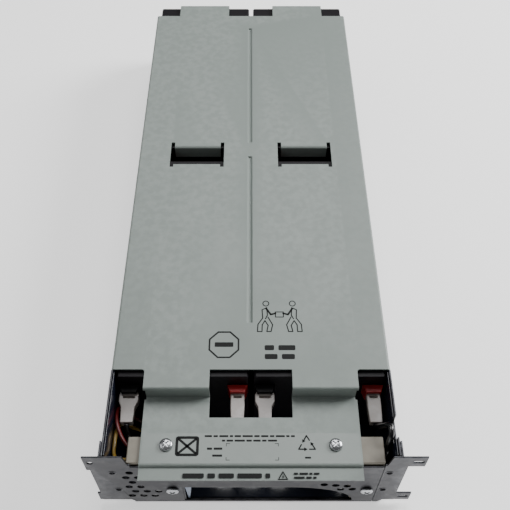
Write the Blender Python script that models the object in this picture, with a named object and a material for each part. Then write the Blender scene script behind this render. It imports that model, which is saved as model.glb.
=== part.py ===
"""Rack battery module: a sheet-steel tray with two columns of sealed blocks under a lift-off cover.

Frame: origin on the underside of the tray floor at its centre, front towards -Y, +Z up, metres.
"""
import math

import bmesh
import bpy
from mathutils import Vector

# ---- sheet metal ----
SHEET = 0.0012             # sheet steel of the tray, panel, ear and cover
GAP = 0.0003               # gap between pieces that touch
BEND = 0.0007              # inside radius of a plain bend
TIGHT_BEND = 0.0005        # inside radius at the cover's stepped front

# ---- battery blocks ----
BLOCK_WIDTH = 0.090
BLOCK_LENGTH = 0.102
BLOCK_HEIGHT = 0.070
LID_DEPTH = 0.014
BLOCK_EDGE = 0.0012
COLUMN_GAP = 0.0039        # between the two columns
WIRE_CHANNEL = 0.0015      # left column to the liner
BLOCK_SIDE_GAP = 0.0010    # right column to the liner
FRONT_BAY = 0.0570         # tray front edge to the first blocks
BACK_TO_BACK = 0.0005      # between blocks that stand back to back
TERMINAL_BAY = 0.0162      # between the middle blocks, where their terminals face
REAR_BAY = 0.0163          # last blocks to the tray's rear face
TOP_CLEARANCE = 0.0018     # blocks to the underside of the cover

# ---- liner and pad ----
LINER = 0.0005
LINER_DROP = 0.0022        # top of the tray's front walls down to the liner's edge
PAD_HEIGHT = 0.0064
DUCT_HEIGHT = 0.0052       # cable ducts moulded into the pad's underside
DUCT_WIDTH = 0.0062

# ---- terminals ----
POST_INSET = 0.0075        # block side to the middle of a terminal
POST_DROP = 0.0170         # block top down to the terminal blade
BASE_WIDTH = 0.0146
BASE_NOSE = 0.0116         # width of the base at its front
BASE_HEIGHT = 0.0120
BASE_DEPTH = 0.0026
BLADE_WIDTH = 0.0063
BLADE_THICKNESS = 0.0008
BLADE_LENGTH = 0.0060      # block face to blade tip

# ---- cover ----
COVER_FLANGE = 0.0080
REAR_INSET = 0.0167        # last blocks' end back to the cover's rear edge
NOTCH_OVERLAP = 0.0040     # how far the notches reach over the first blocks
STEP_AHEAD = 0.0100        # first blocks forward to the cover's step
STEP_DROP = 0.0123
SIDE_NOTCH = 0.0227        # width of the side notches
MIDDLE_NOTCH_HALF = 0.0280
MIDDLE_NOTCH_LENGTH = 0.0295
CORNER_FILLET = 0.0018
RELIEF = 0.0013            # relief cut at the sides of the step
JOGGLE = 0.0022
LIP_LENGTH = 0.0090        # front panel forward to the lip's edge
LIP_CLEARANCE = 0.0008     # lip down to the front panel
WINDOW_INNER = 0.0245      # middle of the cover to a window
WINDOW_WIDTH = 0.0425
WINDOW_LENGTH = 0.0215
FLAP_CLEARANCE = 0.0007
SLIT_WIDTH = 0.0030
SLIT_FRONT = 0.0030        # slits past the window at its front
SLIT_REAR = 0.0045         # slits past the window at its rear
FLAP_DROP = 0.0108
REAR_TAB_INNER = 0.0222    # middle of the cover to a rear tab
REAR_TAB_DROP = 0.0150
BEAD_X = -0.0008
BEAD_WIDTH = 0.0042
BEAD_DEPTH = 0.0013
BEAD_FRONT_INSET = 0.0375
BEAD_WINDOW_LAP = 0.0090
BEAD_REAR_INSET = 0.0210
SCREW_X = 0.0555
SCREW_INSET = 0.0065       # crossbar's rear edge forward to the cover screws

# ---- crossbar ----
BAR_SETBACK = 0.0005       # tray front edge back to the bar
BAR_DEPTH = 0.0180
BAR_LEFT_GAP = 0.0122      # liner to the bar's ends
BAR_RIGHT_GAP = 0.0058
BAR_HEIGHT = 0.0120
LEG_LEFT_X = (-0.0610, -0.0470)
LEG_RIGHT_X = (0.0700, 0.0830)

# ---- front panel and ears ----
LEFT_EAR_REACH = 0.0098    # tray wall out to each ear's edge
LEFT_TAB_REACH = 0.0120
RIGHT_EAR_REACH = 0.0065
RIGHT_TAB_REACH = 0.0171
LEFT_EAR_INSET = 0.0123    # tray's inner wall in to the left ear's edge
RIGHT_EAR_INSET = 0.0070   # tray's inner wall in to the right ear's seam
EAR_SLOPE = 0.0034         # slant of the ears' inner corners
EAR_FLANGE_DEPTH = 0.0115
TOP_TAB_LEFT = 0.0210      # height of each tab
TOP_TAB_RIGHT = 0.0145
BOTTOM_TAB = (0.0050, 0.0180)
EAR_LIFT = 0.0045          # ears' lower edge above the tray's underside
SIDE_HOLE_INSET = 0.0028
SIDE_HOLE_RADIUS = 0.0020
SIDE_HOLE_DROPS = (0.0260, 0.0570)
VENT_RADIUS = 0.0026
VENT_PITCH = 0.0080
VENT_ROW = 0.0086
VENT_DROP = 0.0260         # ear top down to the first vent row
VENT_X = -0.0800
HANDLE_X = (-0.0470, 0.0280)
HANDLE_LOW = 0.0032
HANDLE_DROP = 0.0530       # ear top down to the handle opening
HANDLE_SWEEP = 0.0440      # how far the curved right end runs on
HANDLE_FLANGE = 0.0080
PANEL_SCREW_X = -0.0540
BRACKET_SCREW_X = 0.0800
PANEL_SCREW_DROP = 0.0570

# ---- screws ----
SCREW_RADIUS = 0.0020
SCREW_LENGTH = 0.0100
SCREW_CLEARANCE = 0.0004
HEAD_RADIUS = 0.0043
HEAD_HEIGHT = 0.0024

# ---- tray details ----
REAR_WALL = 0.0500
CABLE_NOTCH = (0.0125, 0.0275)   # tray front edge back to the cable notch
CABLE_NOTCH_DEPTH = 0.0085

# ---- cables, sleeves and connector ----
LEAD = 0.0046
JUMPER = 0.0034
SENSE = 0.0028
SLEEVE_LENGTH = 0.0235
SLEEVE_SLIM = 0.0096
SLEEVE_WIDE = 0.0136
SLEEVE_MOUTH = 0.0110
SLEEVE_HEIGHT = 0.0056
PLUG_X = (0.0300, 0.0660)
PLUG_Z = (0.0090, 0.0330)
PLUG_DEPTH = 0.0125

# ---- derived places ----
TRAY_LENGTH = FRONT_BAY + 4 * BLOCK_LENGTH + 2 * BACK_TO_BACK + TERMINAL_BAY + REAR_BAY
PANEL_FRONT = -(TRAY_LENGTH + GAP + SHEET) / 2
TRAY_FRONT = PANEL_FRONT + SHEET + GAP
TRAY_REAR = TRAY_FRONT + TRAY_LENGTH
LINER_TOP = SHEET + GAP + LINER
PAD_BASE = LINER_TOP + GAP
PAD_TOP = PAD_BASE + PAD_HEIGHT
BLOCK_BASE = PAD_TOP + GAP
BLOCK_TOP = BLOCK_BASE + BLOCK_HEIGHT
HEIGHT = BLOCK_TOP + TOP_CLEARANCE + SHEET
POST_Z = BLOCK_TOP - POST_DROP
POST_SPACING = BLOCK_WIDTH - 2 * POST_INSET
BLOCKS_SPAN = 2 * BLOCK_WIDTH + COLUMN_GAP + WIRE_CHANNEL + BLOCK_SIDE_GAP
LINER_INNER = BLOCKS_SPAN / 2
INNER_HALF = LINER_INNER + LINER + GAP
OUTER_HALF = INNER_HALF + SHEET
RIGHT_X = LINER_INNER - BLOCK_SIDE_GAP - BLOCK_WIDTH / 2
LEFT_X = -LINER_INNER + WIRE_CHANNEL + BLOCK_WIDTH / 2
COLUMNS = (("left", LEFT_X), ("right", RIGHT_X))
ROW_1 = TRAY_FRONT + FRONT_BAY
ROW_2 = ROW_1 + BLOCK_LENGTH + BACK_TO_BACK
ROW_3 = ROW_2 + BLOCK_LENGTH + TERMINAL_BAY
ROW_4 = ROW_3 + BLOCK_LENGTH + BACK_TO_BACK
ROWS = ((1, ROW_1, -1), (2, ROW_2, 1), (3, ROW_3, -1), (4, ROW_4, 1))
BLOCKS_END = ROW_4 + BLOCK_LENGTH
COVER_REAR = BLOCKS_END - REAR_INSET
COVER_MID = HEIGHT - SHEET / 2
LOWER_MID = COVER_MID - STEP_DROP
LIP_MID = LOWER_MID - JOGGLE
NOTCH_REAR = ROW_1 + NOTCH_OVERLAP
STEP_Y = ROW_1 - STEP_AHEAD
TONGUE_HALF = OUTER_HALF - SIDE_NOTCH
WINDOW_X = (WINDOW_INNER, WINDOW_INNER + WINDOW_WIDTH)
WINDOW_REAR = ROW_3 - FLAP_CLEARANCE
WINDOW_Y = (WINDOW_REAR - WINDOW_LENGTH, WINDOW_REAR)
SLIT_Y = (WINDOW_Y[0] - SLIT_FRONT, WINDOW_Y[1] + SLIT_REAR)
REAR_TAB_X = (REAR_TAB_INNER, OUTER_HALF - SIDE_NOTCH - GAP)
FRONT_BEAD = (NOTCH_REAR + BEAD_FRONT_INSET, WINDOW_Y[0] + BEAD_WINDOW_LAP)
REAR_BEAD = (WINDOW_Y[1] + BEAD_WINDOW_LAP / 2, COVER_REAR - BEAD_REAR_INSET)
PANEL_TOP = LIP_MID - SHEET / 2 - LIP_CLEARANCE
PANEL_BACK = PANEL_FRONT + SHEET
BAR_X = (BAR_LEFT_GAP - LINER_INNER, LINER_INNER - BAR_RIGHT_GAP)
BAR_Y = (TRAY_FRONT + BAR_SETBACK, TRAY_FRONT + BAR_SETBACK + BAR_DEPTH)
BAR_TOP = LOWER_MID - SHEET / 2 - GAP
SCREW_Y = BAR_Y[1] - SCREW_INSET
LEFT_EAR_INNER = INNER_HALF - LEFT_EAR_INSET
RIGHT_SEAM = INNER_HALF - RIGHT_EAR_INSET
SIDE_HOLE_X = INNER_HALF - SIDE_HOLE_INSET
PANEL_SCREW_Z = HEIGHT - PANEL_SCREW_DROP
HANDLE_HIGH = HEIGHT - HANDLE_DROP
CABLE_NOTCH_Y = (TRAY_FRONT + CABLE_NOTCH[0], TRAY_FRONT + CABLE_NOTCH[1])
DUCTS = (RIGHT_X + 0.0310, RIGHT_X - 0.0270, LEFT_X + 0.0260, LEFT_X - 0.0250)
SENSE_DUCT = LEFT_X + 0.0110

materials = {}


def material(name, colour, roughness, metallic=0.0):
    """One Principled material per finish."""
    if name not in materials:
        made = bpy.data.materials.new(name)
        made.use_nodes = True
        shader = made.node_tree.nodes["Principled BSDF"]
        shader.inputs["Base Color"].default_value = (*colour, 1.0)
        shader.inputs["Roughness"].default_value = roughness
        shader.inputs["Metallic"].default_value = metallic
        materials[name] = made
    return materials[name]


def finish_of(kind):
    """The finish of each kind of piece."""
    table = {
        "galvanised": ((0.30, 0.32, 0.35), 0.38, 0.9),
        "paint": ((0.35, 0.40, 0.38), 0.45, 0.1),
        "case": ((0.015, 0.014, 0.018), 0.35, 0.0),
        "lid": ((0.020, 0.018, 0.024), 0.30, 0.0),
        "red": ((0.30, 0.01, 0.01), 0.40, 0.0),
        "black": ((0.012, 0.012, 0.012), 0.40, 0.0),
        "cream": ((0.42, 0.40, 0.33), 0.50, 0.0),
        "nylon": ((0.55, 0.55, 0.60), 0.30, 0.0),
        "liner": ((0.010, 0.010, 0.016), 0.12, 0.0),
        "foam": ((0.03, 0.03, 0.03), 0.90, 0.0),
        "screw": ((0.60, 0.60, 0.62), 0.25, 1.0),
        "red_wire": ((0.35, 0.02, 0.02), 0.35, 0.0),
        "yellow_wire": ((0.45, 0.28, 0.03), 0.35, 0.0),
        "link": ((0.50, 0.33, 0.12), 0.30, 1.0),
        "plug": ((0.05, 0.05, 0.055), 0.45, 0.0),
    }
    return material(kind, *table[kind])


def prism(bm, outline, axis, low, high):
    """Add a closed prism: an outline of two coordinates drawn along one axis from low to high."""
    places = {"X": lambda u, v, w: (w, u, v), "Y": lambda u, v, w: (u, w, v), "Z": lambda u, v, w: (u, v, w)}
    place = places[axis]
    ends = [[bm.verts.new(place(u, v, w)) for u, v in outline] for w in (low, high)]
    faces = [bm.faces.new(ends[0]), bm.faces.new(list(reversed(ends[1])))]
    count = len(outline)
    for i in range(count):
        j = (i + 1) % count
        faces.append(bm.faces.new((ends[0][j], ends[0][i], ends[1][i], ends[1][j])))
    bmesh.ops.recalc_face_normals(bm, faces=faces)


def circle(u, v, radius, sides=16):
    """A round outline."""
    turns = [2 * math.pi * i / sides for i in range(sides)]
    return [(u + radius * math.cos(a), v + radius * math.sin(a)) for a in turns]


def bent_strip(path, bend=BEND, steps=4):
    """Closed outline of a sheet that follows a centre line, with a rounded bend at each corner."""
    line = [Vector(p) for p in path]
    radius = bend + SHEET / 2
    rail = []
    for i, point in enumerate(line):
        before = (point - line[i - 1]).normalized() if i else None
        after = (line[i + 1] - point).normalized() if i < len(line) - 1 else None
        if before is None or after is None:
            way = before or after
            rail.append((point, Vector((-way.y, way.x))))
            continue
        turn = before.angle_signed(after)
        side = -1 if turn > 0 else 1
        reach = radius * math.tan(abs(turn) / 2)
        normal = Vector((-before.y, before.x)) * side
        centre = point - before * reach + normal * radius
        for k in range(steps + 1):
            angle = abs(turn) * k / steps * side
            spoke = Vector((-normal.x, -normal.y))
            cos, sin = math.cos(angle), math.sin(angle)
            spoke = Vector((spoke.x * cos - spoke.y * sin, spoke.x * sin + spoke.y * cos))
            rail.append((centre + spoke * radius, -spoke * side))
    half = SHEET / 2
    left = [tuple(p + n * half) for p, n in rail]
    right = [tuple(p - n * half) for p, n in reversed(rail)]
    return left + right


def make(name, bm, kind, smooth=None):
    """Turn a bmesh into a named object with its finish."""
    mesh = bpy.data.meshes.new(name)
    bm.to_mesh(mesh)
    bm.free()
    if smooth:
        mesh.shade_smooth()
        mesh.set_sharp_from_angle(angle=math.radians(smooth))
    made = bpy.data.objects.new(name, mesh)
    bpy.context.scene.collection.objects.link(made)
    if kind:
        mesh.materials.append(finish_of(kind))
    return made


def shape(name, kind, *prisms, smooth=None):
    """An object made of one or more prisms, each given as its arguments."""
    bm = bmesh.new()
    for one in prisms:
        prism(bm, *one)
    return make(name, bm, kind, smooth)


def combine(target, operation, label, *prisms):
    """Join prisms to an object, or cut them from it, with one Boolean."""
    tool = shape(f"{target.name}_{label}", None, *prisms)
    tool.hide_render = True
    tool.display_type = "WIRE"
    change = target.modifiers.new(label, "BOOLEAN")
    change.operation = operation
    change.solver = "EXACT"
    change.object = tool


def rect(u, v):
    """A rectangular outline between two pairs."""
    return [(u[0], v[0]), (u[1], v[0]), (u[1], v[1]), (u[0], v[1])]


def mirrored(pair):
    """The same span on the other side of the middle."""
    return (-pair[1], -pair[0])


def both_sides(pair):
    """A span and its mirror image."""
    return (pair, mirrored(pair))


def make_tray():
    """U-shaped tray: walls cut down for the cover's flanges, a low rear end and a cable notch."""
    side = OUTER_HALF - SHEET / 2
    section = bent_strip([(-side, HEIGHT), (-side, SHEET / 2), (side, SHEET / 2), (side, HEIGHT)])
    tray = shape("tray", "galvanised", (section, "Y", TRAY_FRONT, TRAY_REAR))
    rear = rect((-side, side), (SHEET / 2, REAR_WALL))
    combine(tray, "UNION", "rear_wall", (rear, "Y", TRAY_REAR - SHEET, TRAY_REAR))
    low_end = rect((COVER_REAR + GAP, TRAY_REAR + SHEET), (REAR_WALL, HEIGHT + SHEET))
    combine(tray, "DIFFERENCE", "low_rear", (low_end, "X", -OUTER_HALF - SHEET, OUTER_HALF + SHEET))
    seat = rect((NOTCH_REAR - GAP, COVER_REAR + 2 * GAP), (HEIGHT - COVER_FLANGE - GAP, HEIGHT + SHEET))
    combine(tray, "DIFFERENCE", "cover_seat", (seat, "X", -OUTER_HALF - SHEET, OUTER_HALF + SHEET))
    notch = rect(CABLE_NOTCH_Y, (HEIGHT - CABLE_NOTCH_DEPTH, HEIGHT + SHEET))
    combine(tray, "DIFFERENCE", "cable_notch", (notch, "X", INNER_HALF - SHEET, OUTER_HALF + SHEET))
    window = rect((PLUG_X[0] - GAP, PLUG_X[1] + GAP), (PLUG_Z[0] - GAP, PLUG_Z[1] + GAP))
    combine(tray, "DIFFERENCE", "plug_window", (window, "Y", TRAY_REAR - 3 * SHEET, TRAY_REAR + SHEET))


def make_liner():
    """Thin black insulating film over the tray's floor and walls."""
    side = INNER_HALF - GAP
    top = HEIGHT - LINER_DROP
    low = SHEET + GAP
    outline = [(-side, top), (-side, low), (side, low), (side, top)]
    outline += [(LINER_INNER, top), (LINER_INNER, LINER_TOP), (-LINER_INNER, LINER_TOP), (-LINER_INNER, top)]
    end = TRAY_REAR - SHEET - PLUG_DEPTH - GAP
    liner = shape("liner_film", "liner", (outline, "Y", TRAY_FRONT + SHEET, end))
    across = (-OUTER_HALF, OUTER_HALF)
    low_end = rect((COVER_REAR, end + 2 * SHEET), (REAR_WALL - GAP, HEIGHT + SHEET))
    combine(liner, "DIFFERENCE", "low_rear", (low_end, "X", *across))
    notch = rect(CABLE_NOTCH_Y, (HEIGHT - CABLE_NOTCH_DEPTH - 2 * SHEET, HEIGHT + SHEET))
    combine(liner, "DIFFERENCE", "cable_notch", (notch, "X", LINER_INNER - SHEET, INNER_HALF + SHEET))


def make_pad():
    """Foam pad under the blocks, with cable ducts in its underside and wells at the middle bay."""
    left = LEFT_X - BLOCK_WIDTH / 2
    right = RIGHT_X + BLOCK_WIDTH / 2
    outline = rect((left, right), (ROW_1, BLOCKS_END))
    pad = shape("foam_pad", "foam", (outline, "Z", PAD_BASE, PAD_TOP))
    ducts = []
    for x in (*DUCTS, SENSE_DUCT):
        section = rect((x - DUCT_WIDTH / 2, x + DUCT_WIDTH / 2), (PAD_BASE - SHEET, PAD_BASE + DUCT_HEIGHT))
        ducts.append((section, "Y", ROW_1 - SHEET, BLOCKS_END + SHEET))
    combine(pad, "DIFFERENCE", "ducts", *ducts)
    bay = (ROW_2 + BLOCK_LENGTH + SHEET, ROW_3 - SHEET)
    wells = []
    for centre, duct in ((RIGHT_X, DUCTS[1]), (LEFT_X, DUCTS[3])):
        post = centre - POST_SPACING / 2
        span = (post - BASE_WIDTH / 3, duct + DUCT_WIDTH / 2 + SHEET)
        wells.append((rect(span, bay), "Z", PAD_BASE - SHEET, PAD_TOP + SHEET))
    combine(pad, "DIFFERENCE", "wells", *wells)


def rounded(u, v, radius):
    """Rectangular outline with cut corners."""
    low_u, high_u = u
    low_v, high_v = v
    return [
        (low_u + radius, low_v), (high_u - radius, low_v), (high_u, low_v + radius),
        (high_u, high_v - radius), (high_u - radius, high_v), (low_u + radius, high_v),
        (low_u, high_v - radius), (low_u, low_v + radius),
    ]


def make_battery(column, centre, row, start, facing):
    """One sealed block: case, bonded lid and its two terminals; facing is -1 for front, 1 for rear."""
    name = f"{column}_{row}"
    x = (centre - BLOCK_WIDTH / 2, centre + BLOCK_WIDTH / 2)
    z = (BLOCK_BASE, BLOCK_TOP)
    section = rounded(x, z, BLOCK_EDGE)
    end = start + BLOCK_LENGTH
    face = start if facing < 0 else end
    seam = face - facing * LID_DEPTH
    back = end if facing < 0 else start
    shape(f"battery_case_{name}", "case", (section, "Y", *sorted((back, seam - facing * GAP))))
    shape(f"battery_lid_{name}", "lid", (section, "Y", *sorted((face, seam))))
    for sign, kind in ((-1, "negative"), (1, "positive")):
        post = centre - facing * sign * POST_SPACING / 2
        make_terminal(f"terminal_{kind}_{name}", "red" if kind == "positive" else "black", post, face, facing)


def make_terminal(name, kind, x, face, facing):
    """Moulded terminal base with its flat blade."""
    near = face + facing * GAP
    nose = near + facing * BASE_DEPTH
    base = [(x - BASE_WIDTH / 2, near), (x + BASE_WIDTH / 2, near)]
    base += [(x + BASE_NOSE / 2, nose), (x - BASE_NOSE / 2, nose)]
    post = shape(name, kind, (base, "Z", POST_Z - BASE_HEIGHT / 2, POST_Z + BASE_HEIGHT / 2))
    half = BLADE_THICKNESS / 2
    blade = rect((x - BLADE_WIDTH / 2, x + BLADE_WIDTH / 2), (POST_Z - half, POST_Z + half))
    inside = near + facing * BASE_DEPTH / 2
    combine(post, "UNION", "blade", (blade, "Y", *sorted((inside, face + facing * BLADE_LENGTH))))


def fillet(x, y, side):
    """Outline that fills the inner corner of a side notch with a round; side is -1 on the left."""
    points = [(-SHEET, -SHEET), (CORNER_FILLET, -SHEET)]
    steps = 5
    for k in range(steps + 1):
        angle = math.pi / 2 * k / steps
        points.append((CORNER_FILLET * (1 - math.sin(angle)), CORNER_FILLET * (1 - math.cos(angle))))
    points.append((-SHEET, CORNER_FILLET))
    return [(x + side * u, y - v) for u, v in points]


def make_cover():
    """Painted cover: flanged top, rear tabs, stepped front with its lip, flap windows and beads."""
    side = OUTER_HALF - SHEET / 2
    low = HEIGHT - COVER_FLANGE
    section = bent_strip([(-side, low), (-side, COVER_MID), (side, COVER_MID), (side, low)])
    cover = shape("cover", "paint", (section, "Y", NOTCH_REAR, COVER_REAR))
    crease = PANEL_FRONT + GAP
    front = bent_strip([
        (NOTCH_REAR + 5 * SHEET, COVER_MID), (STEP_Y, COVER_MID), (STEP_Y, LOWER_MID), (crease, LOWER_MID),
        (crease - JOGGLE / 3, LIP_MID), (PANEL_FRONT - LIP_LENGTH, LIP_MID),
    ], TIGHT_BEND)
    combine(cover, "UNION", "stepped_front", (front, "X", -TONGUE_HALF, TONGUE_HALF))
    tab_y = BLOCKS_END + BLADE_THICKNESS + SHEET / 2
    tab_low = COVER_MID - REAR_TAB_DROP
    tab = bent_strip([(COVER_REAR - 4 * SHEET, COVER_MID), (tab_y, COVER_MID), (tab_y, tab_low)])
    below, above = HEIGHT - 0.0400, HEIGHT + SHEET
    notch = rect((-MIDDLE_NOTCH_HALF, MIDDLE_NOTCH_HALF), (NOTCH_REAR - MIDDLE_NOTCH_LENGTH, NOTCH_REAR))
    combine(cover, "DIFFERENCE", "middle_notch", (notch, "Z", below, above))
    relief = (STEP_Y - 2 * SHEET, STEP_Y + SHEET / 2 + GAP)
    reliefs = []
    for span in both_sides((TONGUE_HALF - RELIEF, TONGUE_HALF + RELIEF)):
        reliefs.append((rect(span, relief), "Z", LOWER_MID - 2 * SHEET, COVER_MID - 2 * SHEET))
    combine(cover, "DIFFERENCE", "reliefs", *reliefs)
    corners = [fillet(way * TONGUE_HALF, NOTCH_REAR, way) for way in (-1, 1)]
    fillets = [(corner, "Z", HEIGHT - SHEET, HEIGHT) for corner in corners]
    combine(cover, "UNION", "fillets", *fillets)
    windows = [(rect(span, WINDOW_Y), "Z", below, above) for span in both_sides(WINDOW_X)]
    combine(cover, "DIFFERENCE", "windows", *windows)
    slits = []
    for edge in (*WINDOW_X, *mirrored(WINDOW_X)):
        slits.append((rect((edge - SLIT_WIDTH / 2, edge + SLIT_WIDTH / 2), SLIT_Y), "Z", below, above))
    combine(cover, "DIFFERENCE", "slits", *slits)
    flap_y = WINDOW_Y[1] - SHEET
    flap_low = COVER_MID - FLAP_DROP
    flap = bent_strip([(WINDOW_Y[1] + 2 * SHEET, COVER_MID), (flap_y, COVER_MID), (flap_y, flap_low)])
    inner = (WINDOW_X[0] + SLIT_WIDTH / 2, WINDOW_X[1] - SLIT_WIDTH / 2)
    combine(cover, "UNION", "flaps", *((flap, "X", *span) for span in both_sides(inner)))
    beads = (FRONT_BEAD, REAR_BEAD)
    wide, narrow = BEAD_WIDTH / 2, BEAD_WIDTH / 6
    groove = [(BEAD_X - wide, HEIGHT + GAP), (BEAD_X - wide, HEIGHT), (BEAD_X - narrow, HEIGHT - BEAD_DEPTH)]
    groove += [(BEAD_X + narrow, HEIGHT - BEAD_DEPTH), (BEAD_X + wide, HEIGHT), (BEAD_X + wide, HEIGHT + GAP)]
    under = HEIGHT - SHEET
    ridge = [(BEAD_X - wide, under + GAP), (BEAD_X - narrow, under - BEAD_DEPTH)]
    ridge += [(BEAD_X + narrow, under - BEAD_DEPTH), (BEAD_X + wide, under + GAP)]
    combine(cover, "UNION", "bead_ridges", *((ridge, "Y", *span) for span in beads))
    combine(cover, "DIFFERENCE", "bead_grooves", *((groove, "Y", *span) for span in beads))
    hole = SCREW_RADIUS + SCREW_CLEARANCE
    holes = [(circle(x, SCREW_Y, hole), "Z", below, above) for x in (-SCREW_X, SCREW_X)]
    combine(cover, "DIFFERENCE", "screw_holes", *holes)
    combine(cover, "UNION", "rear_tabs", *((tab, "X", *span) for span in both_sides(REAR_TAB_X)))


def make_screw(name, x, y, z, axis, way):
    """Pan-head screw; z is the surface under its head along the axis, way points out of that surface."""
    places = {"Z": (x, y), "Y": (x, z)}
    surface = z if axis == "Z" else y
    u, v = places[axis]
    seat = surface + way * GAP
    dome = seat + way * HEAD_HEIGHT * 0.6
    top = seat + way * HEAD_HEIGHT
    bm = bmesh.new()
    profile = [(SCREW_RADIUS, surface - way * SCREW_LENGTH), (SCREW_RADIUS, seat), (HEAD_RADIUS, seat)]
    profile += [(HEAD_RADIUS, dome), (HEAD_RADIUS * 0.72, top)]
    sides = 20
    rings = []
    for radius, along in profile:
        ring = []
        for a, b in circle(u, v, radius, sides):
            ring.append(bm.verts.new((a, b, along) if axis == "Z" else (a, along, b)))
        rings.append(ring)
    for lower, upper in zip(rings, rings[1:]):
        for i in range(sides):
            j = (i + 1) % sides
            bm.faces.new((lower[i], lower[j], upper[j], upper[i]))
    bm.faces.new(rings[0])
    bm.faces.new(rings[-1])
    bmesh.ops.recalc_face_normals(bm, faces=bm.faces)
    made = make(name, bm, "screw", smooth=35)
    arm, blade, deep = HEAD_RADIUS * 0.55, HEAD_RADIUS * 0.14, top - way * HEAD_HEIGHT * 0.5
    span = sorted((deep, top + way * HEAD_HEIGHT))
    cross = []
    for half_u, half_v in ((arm, blade), (blade, arm)):
        cross.append((rect((u - half_u, u + half_u), (v - half_v, v + half_v)), axis, *span))
    combine(made, "DIFFERENCE", "slot_across", cross[0])
    combine(made, "DIFFERENCE", "slot_along", cross[1])


def make_crossbar():
    """Cream moulded bar on two legs that takes the cover screws and the panel screws."""
    bar_base = BAR_TOP - BAR_HEIGHT
    bar = shape("crossbar", "cream", (rect(BAR_X, BAR_Y), "Z", bar_base, BAR_TOP))
    legs = [(rect(span, BAR_Y), "Z", PAD_BASE, bar_base + SHEET) for span in (LEG_LEFT_X, LEG_RIGHT_X)]
    combine(bar, "UNION", "legs", *legs)
    hole = SCREW_RADIUS + SCREW_CLEARANCE
    rings = [circle(x, SCREW_Y, hole, 12) for x in (-SCREW_X, SCREW_X)]
    cover_holes = [(ring, "Z", bar_base + SHEET, BAR_TOP + SHEET) for ring in rings]
    combine(bar, "DIFFERENCE", "cover_screw_holes", *cover_holes)
    depth = BAR_Y[0] + SCREW_LENGTH
    places = (PANEL_SCREW_X, BRACKET_SCREW_X)
    panel_holes = [(circle(x, PANEL_SCREW_Z, hole, 12), "Y", BAR_Y[0] - SHEET, depth) for x in places]
    combine(bar, "DIFFERENCE", "panel_screw_holes", *panel_holes)


def ear_outline(inner, edge, tab_edge, top_tab):
    """Right-hand ear seen from the front, with a slanted inner corner and a tab at its top and bottom."""
    low, high = BOTTOM_TAB
    slant = PANEL_TOP + EAR_SLOPE
    return [
        (inner, 0.0), (inner + EAR_SLOPE, 0.0), (inner + 2 * EAR_SLOPE, EAR_LIFT), (edge, EAR_LIFT),
        (edge, low), (tab_edge, low), (tab_edge, high), (edge, high),
        (edge, HEIGHT - top_tab), (tab_edge, HEIGHT - top_tab), (tab_edge, HEIGHT), (inner + EAR_SLOPE, HEIGHT), (inner + SHEET, slant), (inner, slant),
    ]


def through_front(outline):
    """A prism of one outline through the front panel and the ears."""
    return (outline, "Y", PANEL_FRONT - SHEET, PANEL_BACK + SHEET)


def side_holes(side):
    """The two holes down one side of the front."""
    places = [(side * SIDE_HOLE_X, HEIGHT - drop) for drop in SIDE_HOLE_DROPS]
    return [through_front(circle(x, z, SIDE_HOLE_RADIUS, 12)) for x, z in places]


def make_front_panel():
    """Front panel with its integral left ear, handle opening and vent holes."""
    seam = RIGHT_SEAM - GAP
    outline = rect((-LEFT_EAR_INNER - SHEET, seam), (0.0, PANEL_TOP))
    panel = shape("front_panel", "galvanised", (outline, "Y", PANEL_FRONT, PANEL_BACK))
    edges = (OUTER_HALF + LEFT_EAR_REACH, OUTER_HALF + LEFT_TAB_REACH)
    ear = [(-x, z) for x, z in ear_outline(LEFT_EAR_INNER - EAR_SLOPE, *edges, TOP_TAB_LEFT)]
    combine(panel, "UNION", "left_ear", (ear, "Y", PANEL_FRONT, PANEL_BACK))
    flange = (-OUTER_HALF - GAP - SHEET, -OUTER_HALF - GAP)
    rear = PANEL_FRONT + EAR_FLANGE_DEPTH
    fold_back = rect(flange, (PANEL_FRONT + SHEET / 2, rear))
    combine(panel, "UNION", "left_flange", (fold_back, "Z", EAR_LIFT, HEIGHT))
    combine(panel, "DIFFERENCE", "side_holes", *side_holes(-1))
    combine(panel, "DIFFERENCE", "handle", through_front(handle_outline()))
    fold = (HANDLE_X[0], HANDLE_X[0] + SHEET)
    inward = rect(fold, (PANEL_FRONT + SHEET / 2, PANEL_BACK + HANDLE_FLANGE))
    combine(panel, "UNION", "handle_flange", (inward, "Z", HANDLE_LOW - GAP, HANDLE_HIGH + GAP))
    vents = [through_front(circle(x, z, VENT_RADIUS, 12)) for x, z in vent_places()]
    combine(panel, "DIFFERENCE", "vents", *vents)
    hole = SCREW_RADIUS + SCREW_CLEARANCE
    screws = [circle(x, PANEL_SCREW_Z, hole) for x in (PANEL_SCREW_X, BRACKET_SCREW_X)]
    combine(panel, "DIFFERENCE", "screw_holes", *(through_front(one) for one in screws))
    ear_hole = circle(-(edges[0] - SIDE_HOLE_RADIUS), HEIGHT - TOP_TAB_LEFT * 0.43, SIDE_HOLE_RADIUS, 12)
    combine(panel, "DIFFERENCE", "ear_hole", through_front(ear_hole))


def handle_outline():
    """Handle opening with a long swept right end."""
    points = [(HANDLE_X[0], HANDLE_LOW)]
    steps = 10
    for k in range(steps + 1):
        angle = math.pi / 2 * k / steps
        rise = (HANDLE_HIGH - HANDLE_LOW) * math.sin(angle)
        points.append((HANDLE_X[1] + HANDLE_SWEEP * math.cos(angle), HANDLE_LOW + rise))
    points.append((HANDLE_X[0], HANDLE_HIGH))
    return points


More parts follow.
